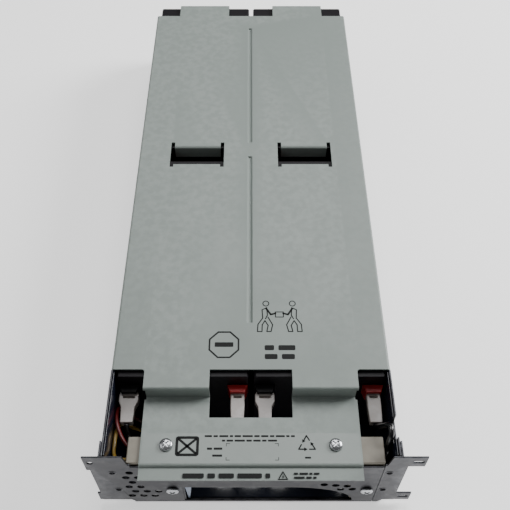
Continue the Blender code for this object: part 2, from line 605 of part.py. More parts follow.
def vent_places():
    """Staggered vent holes left of the handle and a short group over its swept end."""
    places = []
    for row, count in enumerate((1, 2, 1, 2, 3, 3)):
        shift = -VENT_PITCH * 0.42 if row % 2 else 0.0
        z = HEIGHT - VENT_DROP - row * VENT_ROW
        places += [(VENT_X + shift + k * VENT_PITCH, z) for k in range(count)]
    over = HANDLE_HIGH + 2 * VENT_RADIUS
    start = HANDLE_X[1] + HANDLE_SWEEP / 2
    places += [(start + k * VENT_PITCH, over - k * VENT_RADIUS / 2) for k in range(3)]
    places += [(start + 1.5 * VENT_PITCH + k * VENT_PITCH, over - VENT_ROW) for k in range(2)]
    return places


def make_right_ear():
    """Separate right ear bracket: a tabbed front plate with a flange along the tray's wall."""
    edges = (OUTER_HALF + RIGHT_EAR_REACH, OUTER_HALF + RIGHT_TAB_REACH)
    outline = ear_outline(RIGHT_SEAM, *edges, TOP_TAB_RIGHT)
    ear = shape("ear_bracket", "galvanised", (outline, "Y", PANEL_FRONT, PANEL_BACK))
    flange = (OUTER_HALF + GAP, OUTER_HALF + GAP + SHEET)
    rear = PANEL_FRONT + EAR_FLANGE_DEPTH
    combine(ear, "UNION", "flange", (rect(flange, (PANEL_FRONT + SHEET / 2, rear)), "Z", EAR_LIFT, HEIGHT))
    combine(ear, "DIFFERENCE", "side_holes", *side_holes(1))
    middle = sum(edges) / 2
    heights = (HEIGHT - TOP_TAB_RIGHT / 2, sum(BOTTOM_TAB) / 2)
    slots = [through_front(slot_outline(middle, z, 0.0016, 0.0022)) for z in heights]
    combine(ear, "DIFFERENCE", "slots", *slots)


def slot_outline(u, v, radius, reach):
    """A round-ended slot outline, long way across."""
    steps = 6
    points = []
    for side, start in ((1, -math.pi / 2), (-1, math.pi / 2)):
        for k in range(steps + 1):
            angle = start + math.pi * k / steps
            points.append((u + side * reach + radius * math.cos(angle), v + radius * math.sin(angle)))
    return points


def make_sleeve(name, x, wide):
    """Nylon sleeve over a front terminal's blade, shouldered if wide; gives where its far end is."""
    near = ROW_1 - BASE_DEPTH - 2 * GAP
    far = near - SLEEVE_LENGTH
    half = SLEEVE_SLIM / 2
    mouth = SLEEVE_MOUTH / 2 if wide else half
    body = SLEEVE_WIDE / 2 if wide else half
    stations = ((0.0, mouth), (0.13, body), (0.34, body), (0.52, half), (1.0, half * 0.88))
    right = [(x + w, near - SLEEVE_LENGTH * share) for share, w in stations]
    left = [(x - w, near - SLEEVE_LENGTH * share) for share, w in reversed(stations)]
    low, high = POST_Z - SLEEVE_HEIGHT / 2, POST_Z + SLEEVE_HEIGHT / 2
    sleeve = shape(name, "nylon", (right + left, "Z", low, high))
    across = (x - BLADE_WIDTH / 2 - GAP, x + BLADE_WIDTH / 2 + GAP)
    pocket = rect(across, (ROW_1 - BLADE_LENGTH - GAP, near + GAP))
    room = BLADE_THICKNESS / 2 + GAP
    combine(sleeve, "DIFFERENCE", "blade_pocket", (pocket, "Z", POST_Z - room, POST_Z + room))
    return far - GAP


def smooth_route(points, spacing):
    """Evenly spaced points along a smooth curve through the given ones."""
    knots = [Vector(p) for p in points]
    ends = [2 * knots[0] - knots[1]] + knots + [2 * knots[-1] - knots[-2]]
    ways = [(after - before).normalized() for before, after in zip(ends, ends[2:])]
    fine = []
    for i, (here, there) in enumerate(zip(knots, knots[1:])):
        reach = (there - here).length
        steps = max(4, int(reach / 0.001))
        for k in range(steps):
            t = k / steps
            start = here * (2 * t ** 3 - 3 * t ** 2 + 1) + ways[i] * reach * (t ** 3 - 2 * t ** 2 + t)
            finish = there * (3 * t ** 2 - 2 * t ** 3) + ways[i + 1] * reach * (t ** 3 - t ** 2)
            fine.append(start + finish)
    fine.append(knots[-1])
    travelled = [0.0]
    for p, q in zip(fine, fine[1:]):
        travelled.append(travelled[-1] + (q - p).length)
    count = max(2, min(76, math.ceil(travelled[-1] / spacing)))
    result, j = [], 0
    for k in range(count + 1):
        target = travelled[-1] * k / count
        while travelled[j + 1] < target - 1e-9 and j < len(travelled) - 2:
            j += 1
        share = (target - travelled[j]) / (travelled[j + 1] - travelled[j])
        result.append(fine[j].lerp(fine[j + 1], share))
    return [result[0], fine[1], *result[1:-1], fine[-2], result[-1]]


def make_wire(name, kind, diameter, points):
    """A cable along a smooth route."""
    curve = bpy.data.curves.new(name, "CURVE")
    curve.dimensions = "3D"
    curve.bevel_depth = diameter / 2
    curve.bevel_resolution = 2
    curve.use_fill_caps = True
    route = smooth_route(points, diameter * 2.2)
    spline = curve.splines.new("POLY")
    spline.points.add(len(route) - 1)
    for knot, place in zip(spline.points, route):
        knot.co = (*place, 1.0)
    curve.materials.append(finish_of(kind))
    made = bpy.data.objects.new(name, curve)
    bpy.context.scene.collection.objects.link(made)


def duct_run(x, diameter, start, end):
    """Points along one floor duct."""
    z = LINER_TOP + GAP + diameter / 2
    straight = 0.0080
    middle = (start + end) / 2
    return [(x, y, z) for y in (start, start + straight, middle, end - straight, end)]


def make_wiring():
    """Front sleeves, leads, jumpers, middle links and the two sense wires."""
    posts = {name: centre for name, centre in COLUMNS}
    half = POST_SPACING / 2
    left_negative, left_positive = posts["left"] - half, posts["left"] + half
    right_negative, right_positive = posts["right"] - half, posts["right"] + half
    sleeve_end = make_sleeve("sleeve_left", left_negative, True)
    make_sleeve("sleeve_middle_left", left_positive, False)
    make_sleeve("sleeve_middle_right", right_negative, True)
    make_sleeve("sleeve_right", right_positive, False)
    duct_start, duct_end = ROW_1 + 0.0020, BLOCKS_END - 0.0040
    bay_front, bay_rear = ROW_2 + BLOCK_LENGTH, ROW_3
    post_lane = BASE_DEPTH + 2 * GAP + JUMPER / 2
    front_well, rear_well, rear_post = bay_front + post_lane, bay_rear - post_lane, BLOCKS_END + post_lane
    blade_under = POST_Z - BLADE_THICKNESS / 2 - GAP
    plug_left, plug_right = PLUG_X[0] - 2 * GAP, PLUG_X[1] + 2 * GAP
    rear_lane = TRAY_REAR - SHEET - GAP - LEAD / 2
    lead_z = LINER_TOP + GAP + LEAD / 2
    make_wire("lead_positive_right", "black", LEAD, [
        (right_positive, sleeve_end, POST_Z), (right_positive + 0.0004, -0.2222, POST_Z + 0.0004),
        (0.0893, -0.2236, 0.0735), (0.0940, -0.2268, 0.0792), (0.0922, -0.2308, 0.0778),
        (0.0904, -0.2344, 0.0705), (0.0903, -0.2390, 0.0540), (0.0898, -0.2350, 0.0330),
        (0.0850, -0.2200, 0.0140), (DUCTS[0] + 0.0016, -0.2040, 0.0062),
        *duct_run(DUCTS[0], LEAD, duct_start, duct_end),
        (DUCTS[0] - 0.0005, 0.2385, 0.0052), (0.0755, 0.2435, 0.0100), (0.0710, 0.2450, 0.0135),
        (plug_right, 0.2450, 0.0140),
    ])
    make_wire("lead_positive_left", "black", LEAD, [
        (left_positive, sleeve_end, POST_Z), (left_positive - 0.0004, -0.2228, POST_Z - 0.0008),
        (-0.0120, -0.2265, 0.0440), (-0.0170, -0.2200, 0.0210), (-0.0192, -0.2070, 0.0070),
        *duct_run(DUCTS[2], LEAD, duct_start, duct_end),
        (DUCTS[2] + 0.0004, 0.2370, lead_z), (DUCTS[2] + 0.0065, rear_lane - 0.0006, lead_z),
        (0.0000, rear_lane, lead_z + 0.0004), (0.0150, rear_lane, 0.0075), (0.0230, rear_lane, 0.0125),
        (plug_left, rear_lane, 0.0140),
    ])
    for name, post, duct in (("left", left_negative, DUCTS[3]), ("right", right_negative, DUCTS[1])):
        bend = 0.4 * (duct - post)
        make_wire(f"jumper_front_{name}", "black", JUMPER, [
            (post, sleeve_end, POST_Z), (post + 0.1 * bend, -0.2225, POST_Z - 0.0012),
            (post + bend, -0.2262, 0.0450), (duct - 0.2 * bend, -0.2200, 0.0220), (duct, -0.2060, 0.0070),
            *duct_run(duct, JUMPER, duct_start, bay_front - 0.0060),
            (duct, front_well - 0.0006, 0.0062), (duct - 0.2 * bend, front_well + 0.0004, 0.0150),
            (post + bend, front_well, 0.0330), (post, front_well, 0.0500), (post, front_well, blade_under),
        ])
        make_wire(f"jumper_rear_{name}", "black", JUMPER, [
            (post, rear_well, blade_under), (post, rear_well, 0.0500), (post + bend, rear_well, 0.0330),
            (duct - 0.2 * bend, rear_well - 0.0004, 0.0150), (duct, rear_well + 0.0006, 0.0062),
            *duct_run(duct, JUMPER, bay_rear + 0.0060, duct_end),
            (duct, rear_post - 0.0002, 0.0062), (duct - 0.2 * bend, rear_post + 0.0002, 0.0150),
            (post + bend, rear_post, 0.0330), (post, rear_post, 0.0500), (post, rear_post, blade_under),
        ])
    for name, post in (("left", left_positive), ("right", right_positive)):
        tips = (bay_front + BLADE_LENGTH + GAP, bay_rear - BLADE_LENGTH - GAP)
        section = rect((post - BLADE_WIDTH / 2, post + BLADE_WIDTH / 2), (POST_Z - 0.0030, POST_Z + 0.0030))
        shape(f"middle_link_{name}", "link", (section, "Y", *tips))
    make_wire("lead_negative_left", "black", JUMPER, [
        (left_positive, rear_post, blade_under), (left_positive, rear_post + 0.0004, 0.0540),
        (-0.0050, 0.2420, 0.0420), (0.0030, 0.2448, 0.0330), (0.0160, 0.2450, 0.0275),
        (plug_left, 0.2450, 0.0265),
    ])
    make_wire("lead_negative_right", "black", JUMPER, [
        (right_positive, rear_post, blade_under), (right_positive, rear_post + 0.0004, 0.0540),
        (0.0825, 0.2420, 0.0420), (0.0770, 0.2448, 0.0320), (0.0710, 0.2450, 0.0270),
        (plug_right, 0.2450, 0.0265),
    ])
    sense_z = LINER_TOP + GAP + SENSE / 2
    bar_end = BAR_X[0] - 2 * GAP
    make_wire("sense_wire_red", "red_wire", SENSE, [
        (bar_end, -0.2340, POST_Z + 0.0010), (-0.0838, -0.2336, POST_Z + 0.0012),
        (-0.0870, -0.2270, POST_Z + 0.0020),
        (-0.0913, -0.2160, POST_Z + 0.0012), (-0.0917, -0.2060, POST_Z - 0.0030), (-0.0908, -0.1995, 0.0520),
        (-0.0890, -0.1978, 0.0360), (-0.0800, -0.1976, 0.0190), (-0.0640, -0.1976, 0.0110),
        (-0.0440, -0.2004, 0.0062), (SENSE_DUCT - 0.0015, -0.1955, sense_z + 0.0002),
        *duct_run(SENSE_DUCT - 0.0015, SENSE, duct_start, duct_end),
        (SENSE_DUCT - 0.0012, 0.2380, sense_z + 0.0002), (SENSE_DUCT + 0.0040, 0.2412, 0.0052),
        (-0.0220, 0.2421, 0.0102), (-0.0080, 0.2421, 0.0104), (0.0100, 0.2424, 0.0102), (0.0220, 0.2423, 0.0112),
        (plug_left, 0.2421, 0.0120),
    ])
    make_wire("sense_wire_yellow", "yellow_wire", SENSE, [
        (bar_end, -0.2440, 0.0640), (-0.0845, -0.2440, 0.0638), (-0.0892, -0.2434, 0.0610),
        (-0.0914, -0.2380, 0.0582), (-0.0916, -0.2290, 0.0578), (-0.0916, -0.2190, 0.0560),
        (-0.0908, -0.2110, 0.0460), (-0.0870, -0.2060, 0.0300), (-0.0760, -0.2040, 0.0150),
        (-0.0560, -0.2062, 0.0080), (SENSE_DUCT + 0.0002, -0.2052, 0.0046),
        *duct_run(SENSE_DUCT + 0.0015, SENSE, duct_start, duct_end),
        (SENSE_DUCT + 0.0018, 0.2366, sense_z + 0.0036), (SENSE_DUCT + 0.0046, 0.2400, 0.0122),
        (-0.0220, 0.2421, 0.0146), (-0.0080, 0.2421, 0.0150), (0.0100, 0.2421, 0.0165), (0.0220, 0.2421, 0.0186),
        (plug_left, 0.2421, 0.0190),
    ])


def make_plug():
    """Rear output connector: an open-mouthed housing in the tray's rear wall."""
    front = TRAY_REAR - SHEET - PLUG_DEPTH
    rear = TRAY_REAR + 0.0010
    plug = shape("output_connector", "plug", (rect(PLUG_X, PLUG_Z), "Y", front, rear))
    middle = sum(PLUG_X) / 2
    wall = 0.0022
    mouths = []
    for span in ((PLUG_X[0] + wall, middle - wall / 2), (middle + wall / 2, PLUG_X[1] - wall)):
        mouths.append((rect(span, (PLUG_Z[0] + wall, PLUG_Z[1] - wall)), "Y", front + 0.0050, rear + SHEET))
    combine(plug, "DIFFERENCE", "mouths", *mouths)


def main():
    for leftover in list(bpy.data.objects):
        bpy.data.objects.remove(leftover, do_unlink=True)
    make_tray()
    make_liner()
    make_pad()
    for column, centre in COLUMNS:
        for row, start, facing in ROWS:
            make_battery(column, centre, row, start, facing)
    make_cover()
    seat = LOWER_MID + SHEET / 2
    make_screw("cover_screw_left", -SCREW_X, SCREW_Y, seat, "Z", 1)
    make_screw("cover_screw_right", SCREW_X, SCREW_Y, seat, "Z", 1)
    make_crossbar()
    make_front_panel()
    make_right_ear()
    make_screw("panel_screw_left", PANEL_SCREW_X, PANEL_FRONT, PANEL_SCREW_Z, "Y", -1)
    make_screw("panel_screw_right", BRACKET_SCREW_X, PANEL_FRONT, PANEL_SCREW_Z, "Y", -1)
    make_wiring()
    make_plug()


main()
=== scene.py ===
"""Looks of a rack battery module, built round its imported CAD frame.

Each sub-assembly is a class that builds or dresses its pieces; each finish is a small class that makes
one material from shared shader node groups.
"""
import logging
import math
from dataclasses import dataclass, field
from enum import Enum
from typing import Callable, Sequence

import bmesh
import bpy
from mathutils import Matrix, Vector


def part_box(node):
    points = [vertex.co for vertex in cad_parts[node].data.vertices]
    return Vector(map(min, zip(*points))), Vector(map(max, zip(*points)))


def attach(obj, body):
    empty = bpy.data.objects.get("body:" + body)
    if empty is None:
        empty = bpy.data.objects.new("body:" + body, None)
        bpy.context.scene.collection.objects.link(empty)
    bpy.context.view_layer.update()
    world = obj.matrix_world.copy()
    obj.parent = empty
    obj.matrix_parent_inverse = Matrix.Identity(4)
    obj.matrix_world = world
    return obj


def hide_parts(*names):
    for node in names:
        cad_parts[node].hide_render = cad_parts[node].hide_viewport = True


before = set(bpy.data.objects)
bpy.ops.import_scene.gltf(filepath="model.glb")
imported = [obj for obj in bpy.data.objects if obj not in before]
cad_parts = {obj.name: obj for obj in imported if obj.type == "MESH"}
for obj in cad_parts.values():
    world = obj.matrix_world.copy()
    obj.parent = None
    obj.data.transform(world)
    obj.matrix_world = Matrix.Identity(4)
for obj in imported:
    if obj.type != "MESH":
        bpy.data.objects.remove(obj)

log = logging.getLogger("rack_battery")
Point = tuple[float, float]
Colour = tuple[float, float, float]

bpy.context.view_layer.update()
MM = 0.001
INK_RISE = 0.06 * MM        # printed marks stand this far above their surface


class Body(Enum):
    """The two rigid bodies of the module."""

    CHASSIS = "chassis"
    COVER = "cover"


class Slot(Enum):
    """Material slot names passed along with the added pieces; nothing in this script reads them."""

    STEEL = "galvanised_steel"
    PAINT = "cover_paint"
    RED = "red_plastic"
    BLACK = "black_plastic"
    SCREW = "screw_steel"
    BRASS = "brass"
    NYLON = "nylon"


# --------------------------------------------------------------------------------------------------
# Shader node groups
# --------------------------------------------------------------------------------------------------


class NodeSketch:
    """A short way to add and link shader nodes in one tree."""

    def __init__(self, tree: bpy.types.NodeTree) -> None:
        """Keep the tree that nodes are added to.

        Args:
            tree: The node tree of a material or a group.
        """
        self.tree = tree

    def add(self, kind: str, settings: dict | None = None, **inputs: object) -> bpy.types.Node:
        """Add a node, set its properties, and set or link its inputs.

        Args:
            kind: The node's type name.
            settings: Properties of the node itself.
            **inputs: Values or output sockets by input name, with underscores for spaces.

        Returns:
            The new node.
        """
        node = self.tree.nodes.new(kind)
        for name, value in (settings or {}).items():
            setattr(node, name, value)
        for name, value in inputs.items():
            self.feed(node.inputs[name.replace("_", " ")], value)
        return node

    def feed(self, socket: bpy.types.NodeSocket, value: object) -> None:
        """Link an output socket to an input, or set the input's value.

        Args:
            socket: The input socket.
            value: An output socket or a plain value.
        """
        if isinstance(value, bpy.types.NodeSocket):
            self.tree.links.new(value, socket)
        else:
            socket.default_value = value

    def maths(self, operation: str, first: object, second: object) -> bpy.types.NodeSocket:
        """Add a Math node.

        Args:
            operation: The operation's name.
            first: A value or a socket.
            second: A value or a socket.

        Returns:
            The result socket.
        """
        node = self.add("ShaderNodeMath", {"operation": operation})
        self.feed(node.inputs[0], first)
        self.feed(node.inputs[1], second)
        return node.outputs[0]

    def remap(self, value: object, low: float, high: float,
              to_low: float, to_high: float) -> bpy.types.NodeSocket:
        """Map a value from one range to another, clamped.

        Args:
            value: The value's socket.
            low: Start of the range it comes from.
            high: End of the range it comes from.
            to_low: Start of the new range.
            to_high: End of the new range.

        Returns:
            The result socket.
        """
        node = self.add("ShaderNodeMapRange", None,
                        From_Min=low, From_Max=high, To_Min=to_low, To_Max=to_high)
        self.feed(node.inputs["Value"], value)
        return node.outputs["Result"]

    def mix(self, share: object, first: object, second: object) -> bpy.types.NodeSocket:
        """Mix two colours.

        Args:
            share: How much of the second colour shows.
            first: A colour or a socket.
            second: A colour or a socket.

        Returns:
            The mixed colour's socket.
        """
        node = self.add("ShaderNodeMix", {"data_type": "RGBA"})
        self.feed(node.inputs["Factor"], share)
        self.feed(node.inputs[6], first)
        self.feed(node.inputs[7], second)
        return node.outputs[2]


@dataclass
class GroupShelf:
    """The shared node groups, each made once when first asked for."""

    made: dict[str, bpy.types.NodeTree] = field(default_factory=dict)

    def get(self, name: str) -> bpy.types.NodeTree:
        """Give a shared group, building it the first time.

        Args:
            name: One of the group names below.

        Returns:
            The node group.
        """
        if name not in self.made:
            builders: dict[str, Callable[[], bpy.types.NodeTree]] = {
                "fine_grain": self._fine_grain,
                "edge_wear": self._edge_wear,
                "spangle": self._spangle,
                "blotch": self._blotch,
            }
            self.made[name] = builders[name]()
        return self.made[name]

    @staticmethod
    def _start(name: str, inputs: Sequence[tuple[str, float]], outputs: Sequence[str]) -> tuple:
        """Open a group with float inputs and outputs.

        Args:
            name: The group's name.
            inputs: Pairs of an input's label and its starting value.
            outputs: Labels of the outputs.

        Returns:
            The tree, a sketch of it, its input node and its output node.
        """
        tree = bpy.data.node_groups.new(name, "ShaderNodeTree")
        for label, value in inputs:
            socket = tree.interface.new_socket(label, in_out="INPUT", socket_type="NodeSocketFloat")
            socket.default_value = value
        for label in outputs:
            tree.interface.new_socket(label, in_out="OUTPUT", socket_type="NodeSocketFloat")
        sketch = NodeSketch(tree)
        return tree, sketch, sketch.add("NodeGroupInput"), sketch.add("NodeGroupOutput")

    def _fine_grain(self) -> bpy.types.NodeTree:
        """Fine moulded or sprayed grain: a height and a slow roughness change.

        Returns:
            The node group.
        """
        inputs = [("Scale", 900.0), ("Softness", 0.5)]
        tree, sketch, given, out = self._start("fine_grain", inputs, ["Height", "Patch"])
        place = sketch.add("ShaderNodeTexCoord").outputs["Object"]
        noise = sketch.add("ShaderNodeTexNoise", None, Vector=place, Scale=given.outputs["Scale"], Detail=4.0)
        sketch.feed(noise.inputs["Roughness"], given.outputs["Softness"])
        patch = sketch.add("ShaderNodeTexNoise", None, Vector=place, Scale=26.0, Detail=3.0)
        sketch.feed(out.inputs["Height"], noise.outputs["Fac"])
        sketch.feed(out.inputs["Patch"], patch.outputs["Fac"])
        return tree

    def _edge_wear(self) -> bpy.types.NodeTree:
        """Wear on raised edges: a mask from the surface's pointiness, broken up by noise.

        Returns:
            The node group.
        """
        inputs = [("Amount", 1.0), ("Break Scale", 180.0)]
        tree, sketch, given, out = self._start("edge_wear", inputs, ["Mask"])
        geometry = sketch.add("ShaderNodeNewGeometry")
        place = sketch.add("ShaderNodeTexCoord").outputs["Object"]
        scale = given.outputs["Break Scale"]
        noise = sketch.add("ShaderNodeTexNoise", None, Vector=place, Scale=scale, Detail=5.0)
        edge = sketch.remap(geometry.outputs["Pointiness"], 0.52, 0.60, 0.0, 1.0)
        broken = sketch.remap(noise.outputs["Fac"], 0.38, 0.62, 0.15, 1.0)
        worn = sketch.maths("MULTIPLY", edge, broken)
        sketch.feed(out.inputs["Mask"], sketch.maths("MULTIPLY", worn, given.outputs["Amount"]))
        return tree

    def _spangle(self) -> bpy.types.NodeTree:
        """Zinc spangle: crystal cells of different tone with a soft drawn streak.

        Returns:
            The node group.
        """
        inputs = [("Scale", 130.0), ("Streak", 0.3)]
        tree, sketch, given, out = self._start("spangle", inputs, ["Tone", "Height"])
        place = sketch.add("ShaderNodeTexCoord").outputs["Object"]
        scale = given.outputs["Scale"]
        cells = sketch.add("ShaderNodeTexVoronoi", {"feature": "F1"}, Vector=place, Scale=scale)
        grey = sketch.add("ShaderNodeSeparateColor", None, Color=cells.outputs["Color"])
        stretched = sketch.add("ShaderNodeMapping", None, Vector=place, Scale=(900.0, 18.0, 900.0))
        drawn = stretched.outputs["Vector"]
        streak = sketch.add("ShaderNodeTexNoise", None, Vector=drawn, Scale=1.0, Detail=3.0)
        lean = sketch.maths("MULTIPLY", streak.outputs["Fac"], given.outputs["Streak"])
        tone = sketch.maths("ADD", sketch.maths("MULTIPLY", grey.outputs["Red"], 0.75), lean)
        sketch.feed(out.inputs["Tone"], tone)
        sketch.feed(out.inputs["Height"], streak.outputs["Fac"])
        return tree

    def _blotch(self) -> bpy.types.NodeTree:
        """Large soft stains and settled dust: a mask stronger on faces that look up.

        Returns:
            The node group.
        """
        tree, sketch, given, out = self._start("blotch", [("Scale", 14.0), ("Upward", 0.5)], ["Mask"])
        place = sketch.add("ShaderNodeTexCoord").outputs["Object"]
        noise = sketch.add("ShaderNodeTexNoise", None, Vector=place, Scale=given.outputs["Scale"], Detail=6.0)
        normal = sketch.add("ShaderNodeNewGeometry").outputs["Normal"]
        upward = sketch.add("ShaderNodeSeparateXYZ", None, Vector=normal).outputs["Z"]
        lift = sketch.remap(upward, 0.2, 1.0, 0.0, 1.0)
        soft = sketch.remap(noise.outputs["Fac"], 0.42, 0.70, 0.0, 1.0)
        share = sketch.maths("MULTIPLY", lift, given.outputs["Upward"])
        sketch.feed(out.inputs["Mask"], sketch.maths("MULTIPLY", soft, sketch.maths("ADD", share, 0.5)))
        return tree


SHELF = GroupShelf()


# --------------------------------------------------------------------------------------------------
# Finishes
# --------------------------------------------------------------------------------------------------


@dataclass(frozen=True)
class Finish:
    """One surface finish: a Principled material with grain, blotches and edge wear."""

    name: str
    colour: Colour
    second: Colour
    worn: Colour
    roughness: tuple[float, float]
    metallic: float = 0.0
    grain_scale: float = 900.0
    bump: float = 0.10
    bump_distance: float = 0.05 * MM
    wear: float = 0.5
    stain: float = 0.35
    stain_scale: float = 14.0
    coat: float = 0.0
    coat_roughness: float = 0.1
    specular: float = 0.5
    subsurface: float = 0.0

    def material(self) -> bpy.types.Material:
        """Make the material, or give it again.

        Returns:
            The finished material.
        """
        known = bpy.data.materials.get(self.name)
        if known is not None:
            return known
        made = bpy.data.materials.new(self.name)
        made.use_nodes = True
        sketch = NodeSketch(made.node_tree)
        shader = made.node_tree.nodes["Principled BSDF"]
        self.shade(sketch, shader)
        shader.inputs["Metallic"].default_value = self.metallic
        shader.inputs["Coat Weight"].default_value = self.coat
        shader.inputs["Coat Roughness"].default_value = self.coat_roughness
        shader.inputs["Specular IOR Level"].default_value = self.specular
        shader.inputs["Subsurface Weight"].default_value = self.subsurface
        shader.inputs["Subsurface Radius"].default_value = (2 * MM, 2 * MM, 2 * MM)
        return made

    def shade(self, sketch: NodeSketch, shader: bpy.types.Node) -> None:
        """Feed colour, roughness and bump.

        Args:
            sketch: The material's node sketch.
            shader: Its Principled shader.
        """
        grain = self.group(sketch, "fine_grain", Scale=self.grain_scale)
        stain = self.group(sketch, "blotch", Scale=self.stain_scale)
        wear = self.group(sketch, "edge_wear", Amount=self.wear)
        share = sketch.maths("MULTIPLY", stain.outputs["Mask"], self.stain)
        colour = sketch.mix(share, (*self.colour, 1.0), (*self.second, 1.0))
        colour = sketch.mix(wear.outputs["Mask"], colour, (*self.worn, 1.0))
        sketch.feed(shader.inputs["Base Color"], colour)
        rough = sketch.remap(grain.outputs["Patch"], 0.3, 0.7, *self.roughness)
        sketch.feed(shader.inputs["Roughness"], rough)
        self.bump_from(sketch, shader, grain.outputs["Height"])

    def bump_from(self, sketch: NodeSketch, shader: bpy.types.Node, height: bpy.types.NodeSocket) -> None:
        """Feed a height into the shader's normal.

        Args:
            sketch: The material's node sketch.
            shader: Its Principled shader.
            height: The height's socket.
        """
        bump = sketch.add("ShaderNodeBump", None, Strength=self.bump, Distance=self.bump_distance)
        sketch.feed(bump.inputs["Height"], height)
        sketch.feed(shader.inputs["Normal"], bump.outputs["Normal"])

    @staticmethod
    def group(sketch: NodeSketch, name: str, **inputs: float) -> bpy.types.Node:
        """Place a shared group with this material's values.

        Args:
            sketch: The material's node sketch.
            name: The group's name.
            **inputs: Its input values.

        Returns:
            The group node.
        """
        node = sketch.add("ShaderNodeGroup", {"node_tree": SHELF.get(name)})
        for label, value in inputs.items():
            node.inputs[label.replace("_", " ")].default_value = value
        return node


@dataclass(frozen=True)
class ZincFinish(Finish):
    """Galvanised sheet: crystal spangle in two tones with drawn streaks."""

    spangle_scale: float = 150.0

    def shade(self, sketch: NodeSketch, shader: bpy.types.Node) -> None:
        """Feed spangled colour, roughness and bump.

        Args:
            sketch: The material's node sketch.
            shader: Its Principled shader.
        """
        spangle = self.group(sketch, "spangle", Scale=self.spangle_scale)
        stain = self.group(sketch, "blotch", Scale=self.stain_scale)
        wear = self.group(sketch, "edge_wear", Amount=self.wear)
        tone = sketch.remap(spangle.outputs["Tone"], 0.1, 0.9, 0.0, 1.0)
        colour = sketch.mix(tone, (*self.colour, 1.0), (*self.second, 1.0))
        dulled = sketch.maths("MULTIPLY", stain.outputs["Mask"], self.stain)
        colour = sketch.mix(dulled, colour, (*[c * 0.6 for c in self.colour], 1.0))
        colour = sketch.mix(wear.outputs["Mask"], colour, (*self.worn, 1.0))
        sketch.feed(shader.inputs["Base Color"], colour)
        rough = sketch.remap(spangle.outputs["Tone"], 0.1, 0.9, *self.roughness)
        sketch.feed(shader.inputs["Roughness"], rough)
        self.bump_from(sketch, shader, spangle.outputs["Height"])


PAINT = Finish("Cover powder coat",
               (0.235, 0.272, 0.254), (0.215, 0.250, 0.234), (0.36, 0.40, 0.38), (0.40, 0.50),
               grain_scale=1500.0, bump=0.22, bump_distance=0.06 * MM, wear=0.35, stain=0.18, stain_scale=9.0)
LABEL = Finish("Printed label film",
               (0.240, 0.275, 0.258), (0.220, 0.255, 0.238), (0.36, 0.38, 0.36), (0.30, 0.36),
               grain_scale=700.0, bump=0.05, wear=0.1, stain=0.25, coat=0.10)
INK = Finish("Black printing ink",
             (0.010, 0.011, 0.011), (0.016, 0.017, 0.017), (0.03, 0.03, 0.03), (0.55, 0.65),
             grain_scale=1500.0, bump=0.10, wear=0.0, stain=0.3, specular=0.2)
# Galvanised finish for tray, front panel, ear bracket, rims and welds. Its base colour is darkened far below
# bare zinc as painted shade, standing in for the shade on the forward-facing front. The spangle and streaks
# are the sheet's own.
ZINC_WITH_PAINTED_SHADE = ZincFinish("Galvanised sheet",
                  (0.034, 0.034, 0.038), (0.050, 0.050, 0.056), (0.30, 0.31, 0.33), (0.34, 0.46),
                  metallic=1.0, bump=0.06, bump_distance=0.03 * MM, wear=0.22, stain=0.35, specular=0.1)
CASE = Finish("Battery case moulding",
              (0.006, 0.005, 0.008), (0.011, 0.010, 0.014), (0.022, 0.020, 0.026), (0.40, 0.52),
              grain_scale=1100.0, bump=0.18, wear=0.4, stain=0.5, specular=0.3)
LID = Finish("Battery lid moulding",
             (0.006, 0.005, 0.007), (0.011, 0.009, 0.012), (0.018, 0.016, 0.020), (0.38, 0.48),
             grain_scale=800.0, bump=0.10, wear=0.3, stain=0.5, specular=0.2)
RED = Finish("Red terminal moulding",
             (0.36, 0.006, 0.008), (0.26, 0.004, 0.006), (0.46, 0.03, 0.03), (0.38, 0.50),
             grain_scale=900.0, bump=0.08, wear=0.4)
BLACK = Finish("Black terminal moulding",
               (0.003, 0.003, 0.004), (0.006, 0.006, 0.007), (0.012, 0.012, 0.012), (0.42, 0.54),
               grain_scale=900.0, bump=0.08, wear=0.4, specular=0.2)
CREAM = Finish("Cream crossbar moulding",
               (0.255, 0.232, 0.190), (0.215, 0.196, 0.160), (0.34, 0.32, 0.27), (0.42, 0.55),
               grain_scale=700.0, bump=0.14, wear=0.5, stain=0.5, subsurface=0.05)
# Black insulating film. Its colour and its lighter blotches are lightened and tinted blue as a painted
# reflection, standing in for the glossy reflections inside the handle opening and on the tray's inner walls.
FILM_WITH_PAINTED_REFLECTION = Finish("Insulating film with painted reflection",
              (0.014, 0.018, 0.034), (0.030, 0.038, 0.068), (0.03, 0.03, 0.05), (0.10, 0.20),
              grain_scale=90.0, bump=0.10, bump_distance=0.3 * MM, wear=0.1, stain=0.6, coat=0.5,
              coat_roughness=0.08)
FOAM = Finish("Closed-cell foam",
              (0.012, 0.012, 0.013), (0.022, 0.022, 0.023), (0.04, 0.04, 0.04), (0.80, 0.95),
              grain_scale=1600.0, bump=0.8, bump_distance=0.2 * MM, wear=0.2, specular=0.2)
